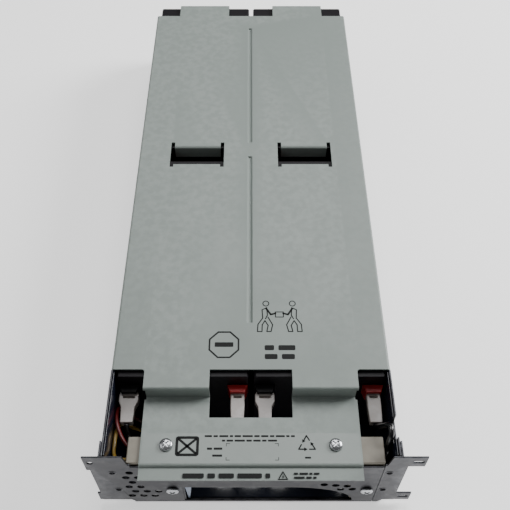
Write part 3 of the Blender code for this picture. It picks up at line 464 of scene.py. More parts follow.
# Gusset colour: light blue as a painted reflection of light on the bent edge, not the sheet's own colour.
GUSSET_PAINTED_REFLECTION = Finish("Gusset sheet with painted reflection",
                (0.22, 0.27, 0.36), (0.18, 0.22, 0.30), (0.40, 0.44, 0.50), (0.30, 0.40),
                metallic=0.6, grain_scale=500.0, bump=0.05, wear=0.3)
SCREW = Finish("Bright zinc screw",
               (0.50, 0.51, 0.53), (0.38, 0.39, 0.42), (0.70, 0.70, 0.72), (0.18, 0.30),
               metallic=1.0, grain_scale=500.0, bump=0.05, wear=0.3, stain=0.4)
NYLON = Finish("Milky nylon",
               (0.330, 0.295, 0.270), (0.200, 0.185, 0.200), (0.52, 0.50, 0.50), (0.26, 0.36),
               grain_scale=400.0, bump=0.06, wear=0.5, stain=0.3, subsurface=0.15, coat=0.2)
BRASS = Finish("Brass link",
               (0.42, 0.30, 0.13), (0.30, 0.21, 0.09), (0.60, 0.46, 0.24), (0.22, 0.36),
               metallic=1.0, grain_scale=500.0, bump=0.08, wear=0.4, stain=0.5)
PLUG = Finish("Connector moulding",
              (0.020, 0.020, 0.023), (0.034, 0.034, 0.038), (0.06, 0.06, 0.06), (0.40, 0.52),
              grain_scale=900.0, bump=0.14, wear=0.4)
CABLE_BLACK = Finish("Black cable jacket",
                     (0.005, 0.005, 0.006), (0.010, 0.010, 0.012), (0.02, 0.02, 0.02), (0.18, 0.28),
                     grain_scale=300.0, bump=0.08, wear=0.1, coat=0.35)
CABLE_RED = Finish("Red cable jacket",
                   (0.10, 0.005, 0.005), (0.07, 0.004, 0.004), (0.26, 0.03, 0.03), (0.24, 0.34),
                   grain_scale=300.0, bump=0.08, wear=0.1, coat=0.2)
CABLE_YELLOW = Finish("Yellow cable jacket",
                      (0.27, 0.17, 0.030), (0.20, 0.13, 0.022), (0.38, 0.26, 0.08), (0.24, 0.34),
                      grain_scale=300.0, bump=0.08, wear=0.1, coat=0.2)
FLOOR = Finish("Pale floor",
               (0.90, 0.90, 0.90), (0.89, 0.89, 0.89), (0.90, 0.90, 0.90), (0.75, 0.85),
               grain_scale=60.0, bump=0.02, wear=0.0, stain=0.0, stain_scale=3.0, specular=0.1)


# --------------------------------------------------------------------------------------------------
# Mesh building
# --------------------------------------------------------------------------------------------------


class Shape:
    """Geometry gathered in one mesh: prisms, turned profiles and printed strokes."""

    def __init__(self) -> None:
        """Start an empty mesh."""
        self.bm = bmesh.new()

    def prism(self, outline: Sequence[Point], low: float, high: float, axis: str = "Z") -> "Shape":
        """Add a closed prism.

        Args:
            outline: Points in the plane across the axis.
            low: Where it starts along the axis.
            high: Where it ends along the axis.
            axis: X, Y or Z.

        Returns:
            This shape.
        """
        order = {"X": lambda u, v, w: (w, u, v),
                 "Y": lambda u, v, w: (u, w, v),
                 "Z": lambda u, v, w: (u, v, w)}
        ends = [[self.bm.verts.new(order[axis](u, v, w)) for u, v in outline] for w in (low, high)]
        faces = [self.bm.faces.new(ends[0]), self.bm.faces.new(ends[1][::-1])]
        for i in range(len(outline)):
            j = (i + 1) % len(outline)
            faces.append(self.bm.faces.new((ends[0][j], ends[0][i], ends[1][i], ends[1][j])))
        bmesh.ops.recalc_face_normals(self.bm, faces=faces)
        return self

    def frame(self, outer: Sequence[Point], inner: Sequence[Point], low: float, high: float) -> "Shape":
        """Add a closed band between two outlines of as many points, along Z.

        Args:
            outer: The outer outline.
            inner: The inner outline.
            low: Its lower face.
            high: Its upper face.

        Returns:
            This shape.
        """
        rings = []
        for outline, z in ((outer, low), (outer, high), (inner, high), (inner, low)):
            rings.append([self.bm.verts.new((u, v, z)) for u, v in outline])
        faces = []
        for first, second in zip(rings, rings[1:] + rings[:1]):
            for i in range(len(outer)):
                j = (i + 1) % len(outer)
                faces.append(self.bm.faces.new((first[i], first[j], second[j], second[i])))
        bmesh.ops.recalc_face_normals(self.bm, faces=faces)
        return self

    def lathe(self, profile: Sequence[Point], centre: Vector, way: Vector, sides: int) -> "Shape":
        """Add a turned solid.

        Args:
            profile: Pairs of radius and height along the axis; the ends close on the axis.
            centre: The axis's foot.
            way: The axis's direction.
            sides: How many sides it has round.

        Returns:
            This shape.
        """
        turn = Vector((0, 0, 1)).rotation_difference(way.normalized()).to_matrix()
        rings = []
        for radius, height in profile:
            ring = []
            for k in range(sides):
                angle = 2 * math.pi * k / sides
                spot = Vector((radius * math.cos(angle), radius * math.sin(angle), height))
                ring.append(self.bm.verts.new(centre + turn @ spot))
            rings.append(ring)
        faces = [self.bm.faces.new(rings[0]), self.bm.faces.new(rings[-1][::-1])]
        for first, second in zip(rings, rings[1:]):
            for i in range(sides):
                j = (i + 1) % sides
                faces.append(self.bm.faces.new((first[i], first[j], second[j], second[i])))
        bmesh.ops.recalc_face_normals(self.bm, faces=faces)
        return self

    def stroke(self, points: Sequence[Point], width: float, low: float, high: float) -> "Shape":
        """Add a flat stroke with round ends along a broken line.

        Args:
            points: The line's points.
            width: The stroke's width.
            low: Its lower face.
            high: Its upper face.

        Returns:
            This shape.
        """
        spans = 6
        for (ax, ay), (bx, by) in zip(points, points[1:]):
            lean = math.atan2(by - ay, bx - ax)
            outline = []
            for (cx, cy), start in (((bx, by), lean - math.pi / 2), ((ax, ay), lean + math.pi / 2)):
                for k in range(spans + 1):
                    angle = start + math.pi * k / spans
                    outline.append((cx + width / 2 * math.cos(angle), cy + width / 2 * math.sin(angle)))
            self.prism(outline, low, high)
        return self

    def piece(self, name: str, finish: Finish, body: Body, slot: Slot,
              smooth: float = 0.0) -> bpy.types.Object:
        """Turn the shape into a piece that rides on a body.

        Args:
            name: The piece's name.
            finish: Its finish.
            body: The body that it rides on.
            slot: Not used.
            smooth: Shade smooth below this angle in degrees; 0 leaves it flat.

        Returns:
            The new object.
        """
        mesh = bpy.data.meshes.new(name)
        self.bm.to_mesh(mesh)
        self.bm.free()
        if smooth:
            mesh.shade_smooth()
            mesh.set_sharp_from_angle(angle=math.radians(smooth))
        mesh.materials.append(finish.material())
        made = bpy.data.objects.new(name, mesh)
        bpy.context.scene.collection.objects.link(made)
        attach(made, body.value)
        log.info("built %s", name)
        return made


def rectangle(centre: Point, width: float, height: float) -> list[Point]:
    """Outline of a rectangle round its centre.

    Args:
        centre: Its centre.
        width: Its width.
        height: Its height.

    Returns:
        The outline's points.
    """
    x, y = centre
    return [(x - width / 2, y - height / 2), (x + width / 2, y - height / 2),
            (x + width / 2, y + height / 2), (x - width / 2, y + height / 2)]


def rounded(centre: Point, width: float, height: float, radius: float, steps: int = 5) -> list[Point]:
    """Outline of a rectangle with round corners.

    Args:
        centre: Its centre.
        width: Its width.
        height: Its height.
        radius: The corner radius.
        steps: How many spans each corner has.

    Returns:
        The outline's points.
    """
    points = []
    for turn, (sx, sy) in enumerate(((1, -1), (1, 1), (-1, 1), (-1, -1))):
        corner = (centre[0] + sx * (width / 2 - radius), centre[1] + sy * (height / 2 - radius))
        for k in range(steps + 1):
            angle = math.radians(-90 + 90 * turn + 90 * k / steps)
            points.append((corner[0] + radius * math.cos(angle), corner[1] + radius * math.sin(angle)))
    return points


def polygon(centre: Point, radius: float, sides: int, turn: float = 0.0) -> list[Point]:
    """Outline of a regular polygon.

    Args:
        centre: Its centre.
        radius: Centre to corner.
        sides: How many sides it has.
        turn: Where the first corner is, in degrees.

    Returns:
        The outline's points.
    """
    angles = [math.radians(turn + 360 * k / sides) for k in range(sides)]
    return [(centre[0] + radius * math.cos(a), centre[1] + radius * math.sin(a)) for a in angles]


def soften(piece: bpy.types.Object, width: float, segments: int = 3, angle: float = 40.0) -> None:
    """Round a piece's edges with a Bevel modifier.

    Args:
        piece: The piece.
        width: The bevel's width.
        segments: How many spans it has.
        angle: Edges sharper than this, in degrees, are rounded.
    """
    bevel = piece.modifiers.new("round_edges", "BEVEL")
    bevel.width = width
    bevel.segments = segments
    bevel.limit_method = "ANGLE"
    bevel.angle_limit = math.radians(angle)
    bevel.use_clamp_overlap = False
    bevel.harden_normals = False
    piece.data.shade_smooth()
    normals = piece.modifiers.new("even_normals", "WEIGHTED_NORMAL")
    normals.keep_sharp = True


def carve(piece: bpy.types.Object, cutter: Shape) -> None:
    """Cut a shape from a piece and apply the cut.

    Args:
        piece: The piece to cut.
        cutter: The shape to take away.
    """
    mesh = bpy.data.meshes.new("cutter")
    cutter.bm.to_mesh(mesh)
    cutter.bm.free()
    tool = bpy.data.objects.new("cutter", mesh)
    bpy.context.scene.collection.objects.link(tool)
    cut = piece.modifiers.new("cut", "BOOLEAN")
    cut.operation = "DIFFERENCE"
    cut.solver = "EXACT"
    cut.object = tool
    bpy.context.view_layer.update()
    evaluated = piece.evaluated_get(bpy.context.evaluated_depsgraph_get())
    result = bpy.data.meshes.new_from_object(evaluated)
    piece.modifiers.clear()
    piece.data = result
    bpy.data.objects.remove(tool)
    bpy.data.meshes.remove(mesh)


class Dresser:
    """Gives CAD nodes their finish and softens their edges."""

    @staticmethod
    def plain(node: str) -> bpy.types.Object:
        """Clear a node's stored normals and join its split corners.

        Args:
            node: The CAD node's name.

        Returns:
            The node's object.
        """
        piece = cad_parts[node]
        stored = piece.data.attributes.get("custom_normal")
        if stored is not None:
            piece.data.attributes.remove(stored)
        weld = piece.modifiers.new("join_corners", "WELD")
        weld.merge_threshold = 0.005 * MM
        return piece

    def metal(self, node: str, finish: Finish, edge: float) -> None:
        """Dress a sheet or moulded node with softened edges.

        Args:
            node: The CAD node's name.
            finish: Its finish.
            edge: Radius of its edges.
        """
        piece = self.plain(node)
        flat = piece.modifiers.new("join_flats", "DECIMATE")
        flat.decimate_type = "DISSOLVE"
        flat.angle_limit = math.radians(0.6)
        soften(piece, edge, 2)
        self.paint(piece, finish)

    def cable(self, node: str, finish: Finish) -> None:
        """Dress a cable node, made round by subdivision.

        Args:
            node: The CAD node's name.
            finish: Its finish.
        """
        piece = self.plain(node)
        piece.data.shade_smooth()
        rounder = piece.modifiers.new("make_round", "SUBSURF")
        rounder.levels = 2
        rounder.render_levels = 2
        self.paint(piece, finish)

    @staticmethod
    def paint(piece: bpy.types.Object, finish: Finish) -> None:
        """Put one finish in every material slot.

        Args:
            piece: The object.
            finish: Its finish.
        """
        if not piece.material_slots:
            piece.data.materials.append(finish.material())
        for place in piece.material_slots:
            place.material = finish.material()
        log.info("dressed %s", piece.name)


# --------------------------------------------------------------------------------------------------
# Sub-assemblies
# --------------------------------------------------------------------------------------------------


@dataclass
class Chassis:
    """Tray, front panel, ear bracket, liner, pad and crossbar."""

    sheet_edge: float = 0.22 * MM
    film_edge: float = 0.08 * MM
    foam_edge: float = 0.4 * MM
    crossbar_edge: float = 0.7 * MM
    side_hole_radius: float = 2.0 * MM
    rim_radius: float = 3.1 * MM
    rim_height: float = 0.35 * MM
    side_hole_x: float = 91.2 * MM
    side_hole_drops: tuple[float, float] = (26.0 * MM, 57.0 * MM)
    weld_radius: float = 2.2 * MM
    weld_height: float = 12 * MM
    weld_count: int = 6
    gusset_left: float = -46.0 * MM
    gusset_top: float = 28.6 * MM
    gusset_foot: float = 3.6 * MM
    gusset_top_width: float = 5.2 * MM
    gusset_foot_span: Point = (1.6 * MM, 2.6 * MM)
    gusset_set_back: float = 1.6 * MM
    gusset_thickness: float = 0.6 * MM
    gusset_edge: float = 0.12 * MM
    dresser: Dresser = field(default_factory=Dresser)

    def dress(self) -> None:
        """Give the sheet, film and moulded nodes their finishes."""
        for node in ("tray", "front_panel", "ear_bracket"):
            self.dresser.metal(node, ZINC_WITH_PAINTED_SHADE, self.sheet_edge)
        self.dresser.metal("liner_film", FILM_WITH_PAINTED_REFLECTION, self.film_edge)
        self.dresser.metal("foam_pad", FOAM, self.foam_edge)
        self.dresser.metal("crossbar", CREAM, self.crossbar_edge)

    def build_rims(self) -> None:
        """Raised rims round the four side holes of the front."""
        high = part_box("tray")[1].z
        hole = self.side_hole_radius
        for side, node in ((-1, "front_panel"), (1, "ear_bracket")):
            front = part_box(node)[0].y
            shape = Shape()
            for drop in self.side_hole_drops:
                centre = Vector((side * self.side_hole_x, front + 0.1 * MM, high - drop))
                profile = [(hole, 0.0), (self.rim_radius, 0.0), (self.rim_radius * 0.9, self.rim_height)]
                profile += [(hole * 1.08, self.rim_height)]
                self.ring(shape, profile, centre)
            name = "hole_rims_left" if side < 0 else "hole_rims_right"
            shape.piece(name, ZINC_WITH_PAINTED_SHADE, Body.CHASSIS, Slot.STEEL, smooth=35)

    @staticmethod
    def ring(shape: Shape, profile: Sequence[Point], centre: Vector, sides: int = 28) -> None:
        """Add an open-centred turned ring that faces the front.

        Args:
            shape: The shape to add to.
            profile: Closed loop of radius and height towards the front.
            centre: The ring's centre.
            sides: How many sides it has round.
        """
        rings = []
        for radius, height in profile:
            ring = []
            for k in range(sides):
                angle = 2 * math.pi * k / sides
                spot = Vector((radius * math.cos(angle), -height, radius * math.sin(angle)))
                ring.append(shape.bm.verts.new(centre + spot))
            rings.append(ring)
        faces = []
        for first, second in zip(rings, rings[1:] + rings[:1]):
            for i in range(sides):
                j = (i + 1) % sides
                faces.append(shape.bm.faces.new((first[i], first[j], second[j], second[i])))
        bmesh.ops.recalc_face_normals(shape.bm, faces=faces)

    def build_welds(self) -> None:
        """Shallow spot-weld domes along the tray walls' lower edge."""
        low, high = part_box("tray")
        shape = Shape()
        profile = [(self.weld_radius, -0.05 * MM), (self.weld_radius, 0.02 * MM)]
        profile += [(self.weld_radius * 0.8, 0.12 * MM), (self.weld_radius * 0.3, 0.16 * MM)]
        for side, x in ((-1, low.x), (1, high.x)):
            for k in range(self.weld_count):
                y = low.y + (high.y - low.y) * (k + 0.7) / (self.weld_count + 0.4)
                shape.lathe(profile, Vector((x, y, self.weld_height)), Vector((side, 0, 0)), 24)
        shape.piece("spot_welds", ZINC_WITH_PAINTED_SHADE, Body.CHASSIS, Slot.STEEL, smooth=50)

    def build_gusset(self) -> None:
        """Tapered gusset at the left end of the handle opening, coloured light blue as a painted reflection.
        """
        left, top, foot = self.gusset_left, self.gusset_top, self.gusset_foot
        near, far = self.gusset_foot_span
        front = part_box("front_panel")[0].y + self.gusset_set_back
        outline = [(left, top), (left + self.gusset_top_width, top), (left + far, foot), (left + near, foot)]
        gusset = Shape().prism(outline, front, front + self.gusset_thickness, axis="Y")
        piece = gusset.piece("handle_gusset", GUSSET_PAINTED_REFLECTION, Body.CHASSIS, Slot.STEEL)
        soften(piece, self.gusset_edge, 2)

    def build(self) -> None:
        """Dress the nodes and add the fine pieces."""
        self.dress()
        self.build_gusset()
        self.build_rims()
        self.build_welds()


@dataclass
class BatteryBank:
    """Eight sealed blocks with their terminals and links."""

    case_edge: float = 0.4 * MM
    lid_edge: float = 0.2 * MM
    link_edge: float = 0.5 * MM
    nose_width: float = 10.4 * MM
    hood_wall: float = 1.2 * MM
    hood_edge: float = 0.4 * MM
    mouth_height: float = 6.4 * MM
    mouth_corner: float = 0.6 * MM
    dresser: Dresser = field(default_factory=Dresser)

    def dress(self) -> None:
        """Finish every case, lid and link."""
        for column in ("left", "right"):
            for row in range(1, 5):
                self.dresser.metal(f"battery_case_{column}_{row}", CASE, self.case_edge)
                self.dresser.metal(f"battery_lid_{column}_{row}", LID, self.lid_edge)
            self.dresser.metal(f"middle_link_{column}", BRASS, self.link_edge)

    def build_terminal(self, sign: str, column: str, row: int) -> None:
        """Moulded hood that tapers towards its mouth.

        Args:
            sign: positive or negative.
            column: left or right.
            row: 1 to 4 from the front.
        """
        node = f"terminal_{sign}_{column}_{row}"
        low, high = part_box(node)
        facing = -1 if row % 2 else 1
        face, tip = (high.y, low.y) if facing < 0 else (low.y, high.y)
        x, z = (low.x + high.x) / 2, (low.z + high.z) / 2
        width, height = high.x - low.x, high.z - low.z
        nose = self.nose_width / 2
        outline = [(x - width / 2, face), (x + width / 2, face), (x + nose, tip), (x - nose, tip)]
        finish, slot = (RED, Slot.RED) if sign == "positive" else (BLACK, Slot.BLACK)
        body = Shape().prism(outline, z - height / 2, z + height / 2)
        hood = body.piece(f"{node}_hood", finish, Body.CHASSIS, slot)
        mouth = rounded((x, z), 2 * nose - 2 * self.hood_wall, self.mouth_height, self.mouth_corner)
        low_end, high_end = sorted((face + self.hood_wall * facing, tip + MM * facing))
        carve(hood, Shape().prism(mouth, low_end, high_end, axis="Y"))
        soften(hood, self.hood_edge, 3)
        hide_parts(node)

    def build(self) -> None:
        """Dress the blocks and build their terminals."""
        self.dress()
        for column in ("left", "right"):
            for row in range(1, 5):
                for sign in ("negative", "positive"):
                    self.build_terminal(sign, column, row)


@dataclass
class Wiring:
    """Sleeves, cables and the rear connector."""

    sleeve_edge: float = 0.6 * MM
    neck_half: float = 4.8 * MM
    mouth_share: float = 0.81
    slot_width: float = 1.5 * MM
    slot_depth: float = 2.4 * MM
    corner: float = 0.6 * MM
    bore_radius: float = 1.9 * MM
    plug_edge: float = 0.5 * MM
    contact_width: float = 1.6 * MM
    contact_height: float = 12 * MM
    contact_corner: float = 0.5 * MM
    contact_edge: float = 0.2 * MM
    contact_set_back: float = 4.6 * MM
    contact_rear: float = 3.0 * MM
    dresser: Dresser = field(default_factory=Dresser)

    def build_sleeve(self, node: str) -> None:
        """Milky sleeve: closed shouldered body, one cross slot near its top end and a round cable neck.

        Args:
            node: The CAD node that it stands for.
        """
        low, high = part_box(node)
        x, z = (low.x + high.x) / 2, (low.z + high.z) / 2
        half, length = (high.x - low.x) / 2, high.y - low.y
        wide = half > self.neck_half + MM
        neck = self.neck_half
        mouth = half * self.mouth_share if wide else half
        stations = ((0.0, mouth), (0.13, half), (0.34, half), (0.52, neck), (1.0, neck * 0.88))
        right = [(x + w, high.y - length * share) for share, w in stations]
        left = [(x - w, high.y - length * share) for share, w in reversed(stations)]
        body = Shape().prism(right + left, low.z, high.z)
        sleeve = body.piece(f"{node}_shell", NYLON, Body.CHASSIS, Slot.NYLON)
        slot = rounded((x, high.y - length * 0.20), half * 1.15, self.slot_width, self.corner)
        carve(sleeve, Shape().prism(slot, high.z - self.slot_depth, high.z + MM))
        bore = polygon((x, z), self.bore_radius, 16)
        carve(sleeve, Shape().prism(bore, low.y - MM, low.y + length * 0.30, axis="Y"))
        soften(sleeve, self.sleeve_edge, 3, 30)
        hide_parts(node)

    def build_contacts(self) -> None:
        """Metal contacts inside the two mouths of the rear connector."""
        low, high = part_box("output_connector")
        middle = (low.x + high.x) / 2
        shape = Shape()
        for side in (-1, 1):
            for lane in (0.32, 0.68):
                place = (middle + side * (high.x - middle) * lane, (low.z + high.z) / 2)
                outline = rounded(place, self.contact_width, self.contact_height, self.contact_corner)
                shape.prism(outline, low.y + self.contact_set_back, high.y - self.contact_rear, axis="Y")
        contacts = shape.piece("connector_contacts", BRASS, Body.CHASSIS, Slot.BRASS)
        soften(contacts, self.contact_edge, 2)

    def build(self) -> None:
        """Dress the cables and build the sleeves and the contacts."""
        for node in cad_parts:
            if node.startswith(("lead_", "jumper_")):
                self.dresser.cable(node, CABLE_BLACK)
        self.dresser.cable("sense_wire_red", CABLE_RED)
        self.dresser.cable("sense_wire_yellow", CABLE_YELLOW)
        for node in ("sleeve_left", "sleeve_middle_left", "sleeve_middle_right", "sleeve_right"):
            self.build_sleeve(node)
        self.dresser.metal("output_connector", PLUG, self.plug_edge)
        self.build_contacts()


@dataclass
class Screws:
    """Pan-head screws with a cross recess."""

    head_height: float = 2.4 * MM
    shank: float = 2.0 * MM
    tip: float = 0.6 * MM

    def build_one(self, node: str, body: Body, way: Vector) -> None:
        """Build one screw in its node's place.

        Args:
            node: The CAD node that it stands for.
            body: The body that it rides on.
            way: Out of the surface under its head.
        """
        low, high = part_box(node)
        centre = (low + high) / 2
        across = 0 if way.z else 2
        radius = (high[across] - low[across]) / 2
        along = 2 if way.z else 1
        top = high.z if way.z else low.y
        foot = centre.copy()
        foot[along] = top
        length = (high[along] - low[along]) - self.head_height
        rise = self.head_height
        profile = [(self.shank * 0.8, -length - rise), (self.shank, -length - rise + self.tip)]
        profile += [(self.shank, -rise), (radius * 0.98, -rise)]
        profile += [(radius, -rise * 0.86), (radius, -rise * 0.55)]
        profile += [(radius * math.cos(a), -rise * 0.55 + rise * 0.55 * math.sin(a))
                    for a in (math.radians(12 * k) for k in range(1, 7))]
        profile.append((radius * 0.08, 0.0))
        turned = Shape().lathe(profile, foot, way, 48)
        screw = turned.piece(f"{node}_head", SCREW, body, Slot.SCREW, smooth=40)
        arm, blade, deep = radius * 0.58, radius * 0.13, rise * 0.55
        for spin in (math.pi / 4, 3 * math.pi / 4):
            cutter = Shape().prism(rectangle((0.0, 0.0), 2 * arm, 2 * blade), -deep, rise)
            turn = Vector((0, 0, 1)).rotation_difference(way).to_matrix().to_4x4()
            place = Matrix.Translation(foot) @ turn @ Matrix.Rotation(spin, 4, "Z")
            bmesh.ops.transform(cutter.bm, matrix=place, verts=cutter.bm.verts)
            carve(screw, cutter)
        screw.data.shade_smooth()
        screw.data.set_sharp_from_angle(angle=math.radians(35))
        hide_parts(node)

    def build(self) -> None:
        """Build all four screws."""
        for side in ("left", "right"):
            self.build_one(f"cover_screw_{side}", Body.COVER, Vector((0, 0, 1)))
            self.build_one(f"panel_screw_{side}", Body.CHASSIS, Vector((0, -1, 0)))


@dataclass(frozen=True)
class PrintRow:
    """One row of plain bars: its left end, middle line, right end and height, all in millimetres.

    The seed picks which bar length it starts with.
    """

    left: float
    line: float
    right: float
    height: float
    seed: int


@dataclass
class Cover:
    """The lift-off cover with its label and printed marks."""

    edge: float = 0.22 * MM
    step_drop: float = 12.3 * MM
    joggle: float = 1.7 * MM
    ink: float = INK_RISE
    sign_centre: Point = (-18.7 * MM, -168.1 * MM)
    sign_radius: float = 11.6 * MM
    sign_band: float = 1.3 * MM
    lifters_centre: Point = (20.5 * MM, -144.5 * MM)
    limb_width: float = 0.8 * MM
    arm_width: float = 1.4 * MM
    label_centre: Point = (0.0, -238.6 * MM)
    label_size: Point = (143.0 * MM, 20.6 * MM)
    label_thickness: float = 0.12 * MM
    label_hole_spread: float = 55.5 * MM
    label_hole_line: float = -236.5 * MM
    label_hole_radius: float = 3.0 * MM
    square_centre: Point = (-41.6 * MM, -237.2 * MM)
    cross_width: float = 1.6 * MM
    corner_stroke: float = 0.35 * MM
    bars_centre: Point = (36.6 * MM, -236.2 * MM)
    bars_radius: float = 6.2 * MM
    triangle_centre: Point = (20.6 * MM, -256.9 * MM)
    weight_rows: tuple[PrintRow, ...] = (
        PrintRow(9.6, -170.6, 31.0, 4.0, 3), PrintRow(9.6, -177.6, 30.4, 4.0, 1))
    label_rows: tuple[PrintRow, ...] = (
        PrintRow(-30.4, -230.3, 29.0, 1.3, 0), PrintRow(-19.0, -233.4, 18.0, 1.3, 3),
        PrintRow(-28.6, -238.9, -18.6, 1.5, 1), PrintRow(-25.0, -243.6, -18.6, 1.4, 2))
    foot_row: PrintRow = PrintRow(35.0, -245.0, 39.0, 1.2, 4)
    bold_row: PrintRow = PrintRow(-43.8, -256.2, 12.4, 3.0, 2)
    lip_rows: tuple[PrintRow, ...] = (
        PrintRow(27.6, -254.8, 44.0, 1.2, 1), PrintRow(27.6, -257.4, 42.0, 1.3, 5))
    dresser: Dresser = field(default_factory=Dresser)

    def levels(self) -> tuple[float, float, float]:
        """Heights of the cover's top, its lower front and its lip."""
        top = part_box("cover")[1].z
        return top, top - self.step_drop, top - self.step_drop - self.joggle

    def words(self, shape: Shape, row: PrintRow, z: float) -> None:
        """Add a row of plain bars where a line of small print would be.

        Args:
            shape: The shape to add to.
            row: The row's place, height and seed.
            z: The surface that it is printed on.
        """
        lengths = (5.2, 3.1, 6.4, 2.3, 4.6, 7.3, 3.8)
        x, line, end, height = row.left * MM, row.line * MM, row.right * MM, row.height * MM
        gap = height * 0.75
        index = row.seed
        while x < end - height:
            width = min(lengths[index % len(lengths)] * height / 1.4, end - x)
            bar = rounded((x + width / 2, line), width, height, height * 0.2, 2)
            shape.prism(bar, z - self.ink, z + self.ink)
            x += width + gap
            index += 1

    def build_sign(self, z: float) -> None:
        """Octagon sign with a plain bar across it.

        Args:
            z: Height of the surface under the print.
        """
        shape = Shape()
        centre, radius = self.sign_centre, self.sign_radius
        low, high = z - self.ink, z + self.ink
        outer = polygon(centre, radius, 8, 22.5)
        inner = polygon(centre, radius - self.sign_band, 8, 22.5)
        shape.frame(outer, inner, low, high)
        shape.prism(rounded(centre, 13.0 * MM, 3.6 * MM, 0.5 * MM), low, high)
        shape.piece("print_octagon", INK, Body.COVER, Slot.PAINT)

    def build_lifters(self, z: float) -> None:
        """Two plain figures that carry a crate between them.

        Args:
            z: Height of the surface under the print.
        """
        shape = Shape()
        cx, cy = self.lifters_centre
        low, high = z - self.ink, z + self.ink
        limbs = (((9.0, 7.0), (12.4, 5.2), (12.0, -1.8)),
                 ((9.0, 7.0), (8.6, 0.6), (10.0, -2.4)),
                 ((12.0, -1.8), (15.4, -7.0), (15.8, -13.0), (12.6, -13.0)),
                 ((12.6, -13.0), (12.4, -7.4), (10.4, -4.0)),
                 ((10.4, -4.0), (8.2, -8.0), (9.2, -13.0), (6.2, -13.0)),
                 ((6.2, -13.0), (5.0, -7.4), (8.2, -1.0)))
        for side in (-1, 1):
            def spot(u: float, v: float, side: int = side) -> Point:
                """A place in the sign, mirrored for the second figure."""
                return (cx + side * u * MM, cy + v * MM)
            head = spot(9.6, 10.6)
            shape.frame(polygon(head, 2.5 * MM, 20), polygon(head, 1.8 * MM, 20), low, high)
            for limb in limbs:
                shape.stroke([spot(u, v) for u, v in limb], self.limb_width, low, high)
            shape.stroke([spot(9.2, 6.0), spot(6.2, 1.2), spot(2.8, 2.2)], self.arm_width, low, high)
        outer = rectangle((cx, cy + 1.2 * MM), 6.4 * MM, 5.0 * MM)
        inner = rectangle((cx, cy + 1.2 * MM), 5.0 * MM, 3.6 * MM)
        shape.frame(outer, inner, low, high)
        shape.piece("print_lifters", INK, Body.COVER, Slot.PAINT)

    def build_label(self, z: float) -> float:
        """Thin label film across the lower front.

        Args:
            z: Height of the surface under the label.

        Returns:
            The height of its face.
        """
        face = z + self.label_thickness
        shape = Shape().prism(rounded(self.label_centre, *self.label_size, 0.8 * MM), z - self.ink, face)
        holes = Shape()
        for x in (-self.label_hole_spread, self.label_hole_spread):
            outline = polygon((x, self.label_hole_line), self.label_hole_radius, 32)
            holes.prism(outline, z - MM, face + MM)
        label = shape.piece("label_film", LABEL, Body.COVER, Slot.PAINT)
        carve(label, holes)
        return face

    def build_label_print(self, z: float) -> None:
        """Marks on the label: crossed square, print rows, an empty field and a three-part triangle.

        Args:
            z: Height of the surface under the print.
        """
        shape = Shape()
        low, high = z - self.ink, z + self.ink
        square = self.square_centre
        outer = rounded(square, 15.4 * MM, 13.6 * MM, 1.8 * MM)
        inner = rounded(square, 11.8 * MM, 10.0 * MM, 1.0 * MM)
        shape.frame(outer, inner, low, high)
        for side in (-1, 1):
            start = (square[0] - 5.6 * MM, square[1] - side * 4.8 * MM)
            end = (square[0] + 5.6 * MM, square[1] + side * 4.8 * MM)
            shape.stroke([start, end], self.cross_width, low, high)
        for row in self.label_rows:
            self.words(shape, row, z)
        for sx in (-1, 1):
            for sy in (-1, 1):
                corner = ((1.0 + sx * 17.0) * MM, (-241.0 + sy * 5.6) * MM)
                arm_x, arm_y = (corner[0] - sx * 2.2 * MM, corner[1]), (corner[0], corner[1] - sy * 1.8 * MM)
                shape.stroke([arm_x, corner, arm_y], self.corner_stroke, low, high)
        self.build_triangle_marks(shape, self.bars_centre, self.bars_radius, low, high)
        self.words(shape, self.foot_row, z)
        shape.piece("print_label", INK, Body.COVER, Slot.PAINT)

    @staticmethod
    def build_triangle_marks(shape: Shape, centre: Point, radius: float, low: float, high: float) -> None:
        """Three bent bars that chase one another round a triangle.

        Args:
            shape: The shape to add to.
            centre: The triangle's centre.
            radius: Centre to corner.
            low: Lower face of the print.
            high: Upper face of the print.
        """
        corners = [Vector(p) for p in polygon(centre, radius, 3, 90)]
        for k in range(3):
            here, after, before = corners[k], corners[(k + 1) % 3], corners[k - 1]
            start, end = here.lerp(before, 0.34), here.lerp(after, 0.40)
            shape.stroke([tuple(start), tuple(here), tuple(end)], 0.9 * MM, low, high)
            tip = math.atan2(after.y - here.y, after.x - here.x)
            shape.prism(polygon(tuple(end), 1.5 * MM, 3, math.degrees(tip)), low, high)

    def build_lip_print(self, z: float) -> None:
        """Marks on the lip: a bold row, an outlined triangle and two small rows.

        Args:
            z: Height of the surface under the print.
        """
        shape = Shape()
        low, high = z - self.ink, z + self.ink
        self.words(shape, self.bold_row, z)
        centre = self.triangle_centre
        shape.frame(polygon(centre, 3.9 * MM, 3, 90), polygon(centre, 2.7 * MM, 3, 90), low, high)
        shape.prism(rectangle(centre, 0.7 * MM, 1.6 * MM), low, high)
        for row in self.lip_rows:
            self.words(shape, row, z)
        shape.piece("print_lip", INK, Body.COVER, Slot.PAINT)

    def build(self) -> None:
        """Dress the cover and add its label and prints."""
        self.dresser.metal("cover", PAINT, self.edge)
        top, lower, lip = self.levels()
        self.build_sign(top)
        self.build_lifters(top)
        weights = Shape()
        for row in self.weight_rows:
            self.words(weights, row, top)
        weights.piece("print_weight_rows", INK, Body.COVER, Slot.PAINT)
        face = self.build_label(lower)
        self.build_label_print(face)
        self.build_lip_print(lip)


# --------------------------------------------------------------------------------------------------
# Studio
# --------------------------------------------------------------------------------------------------


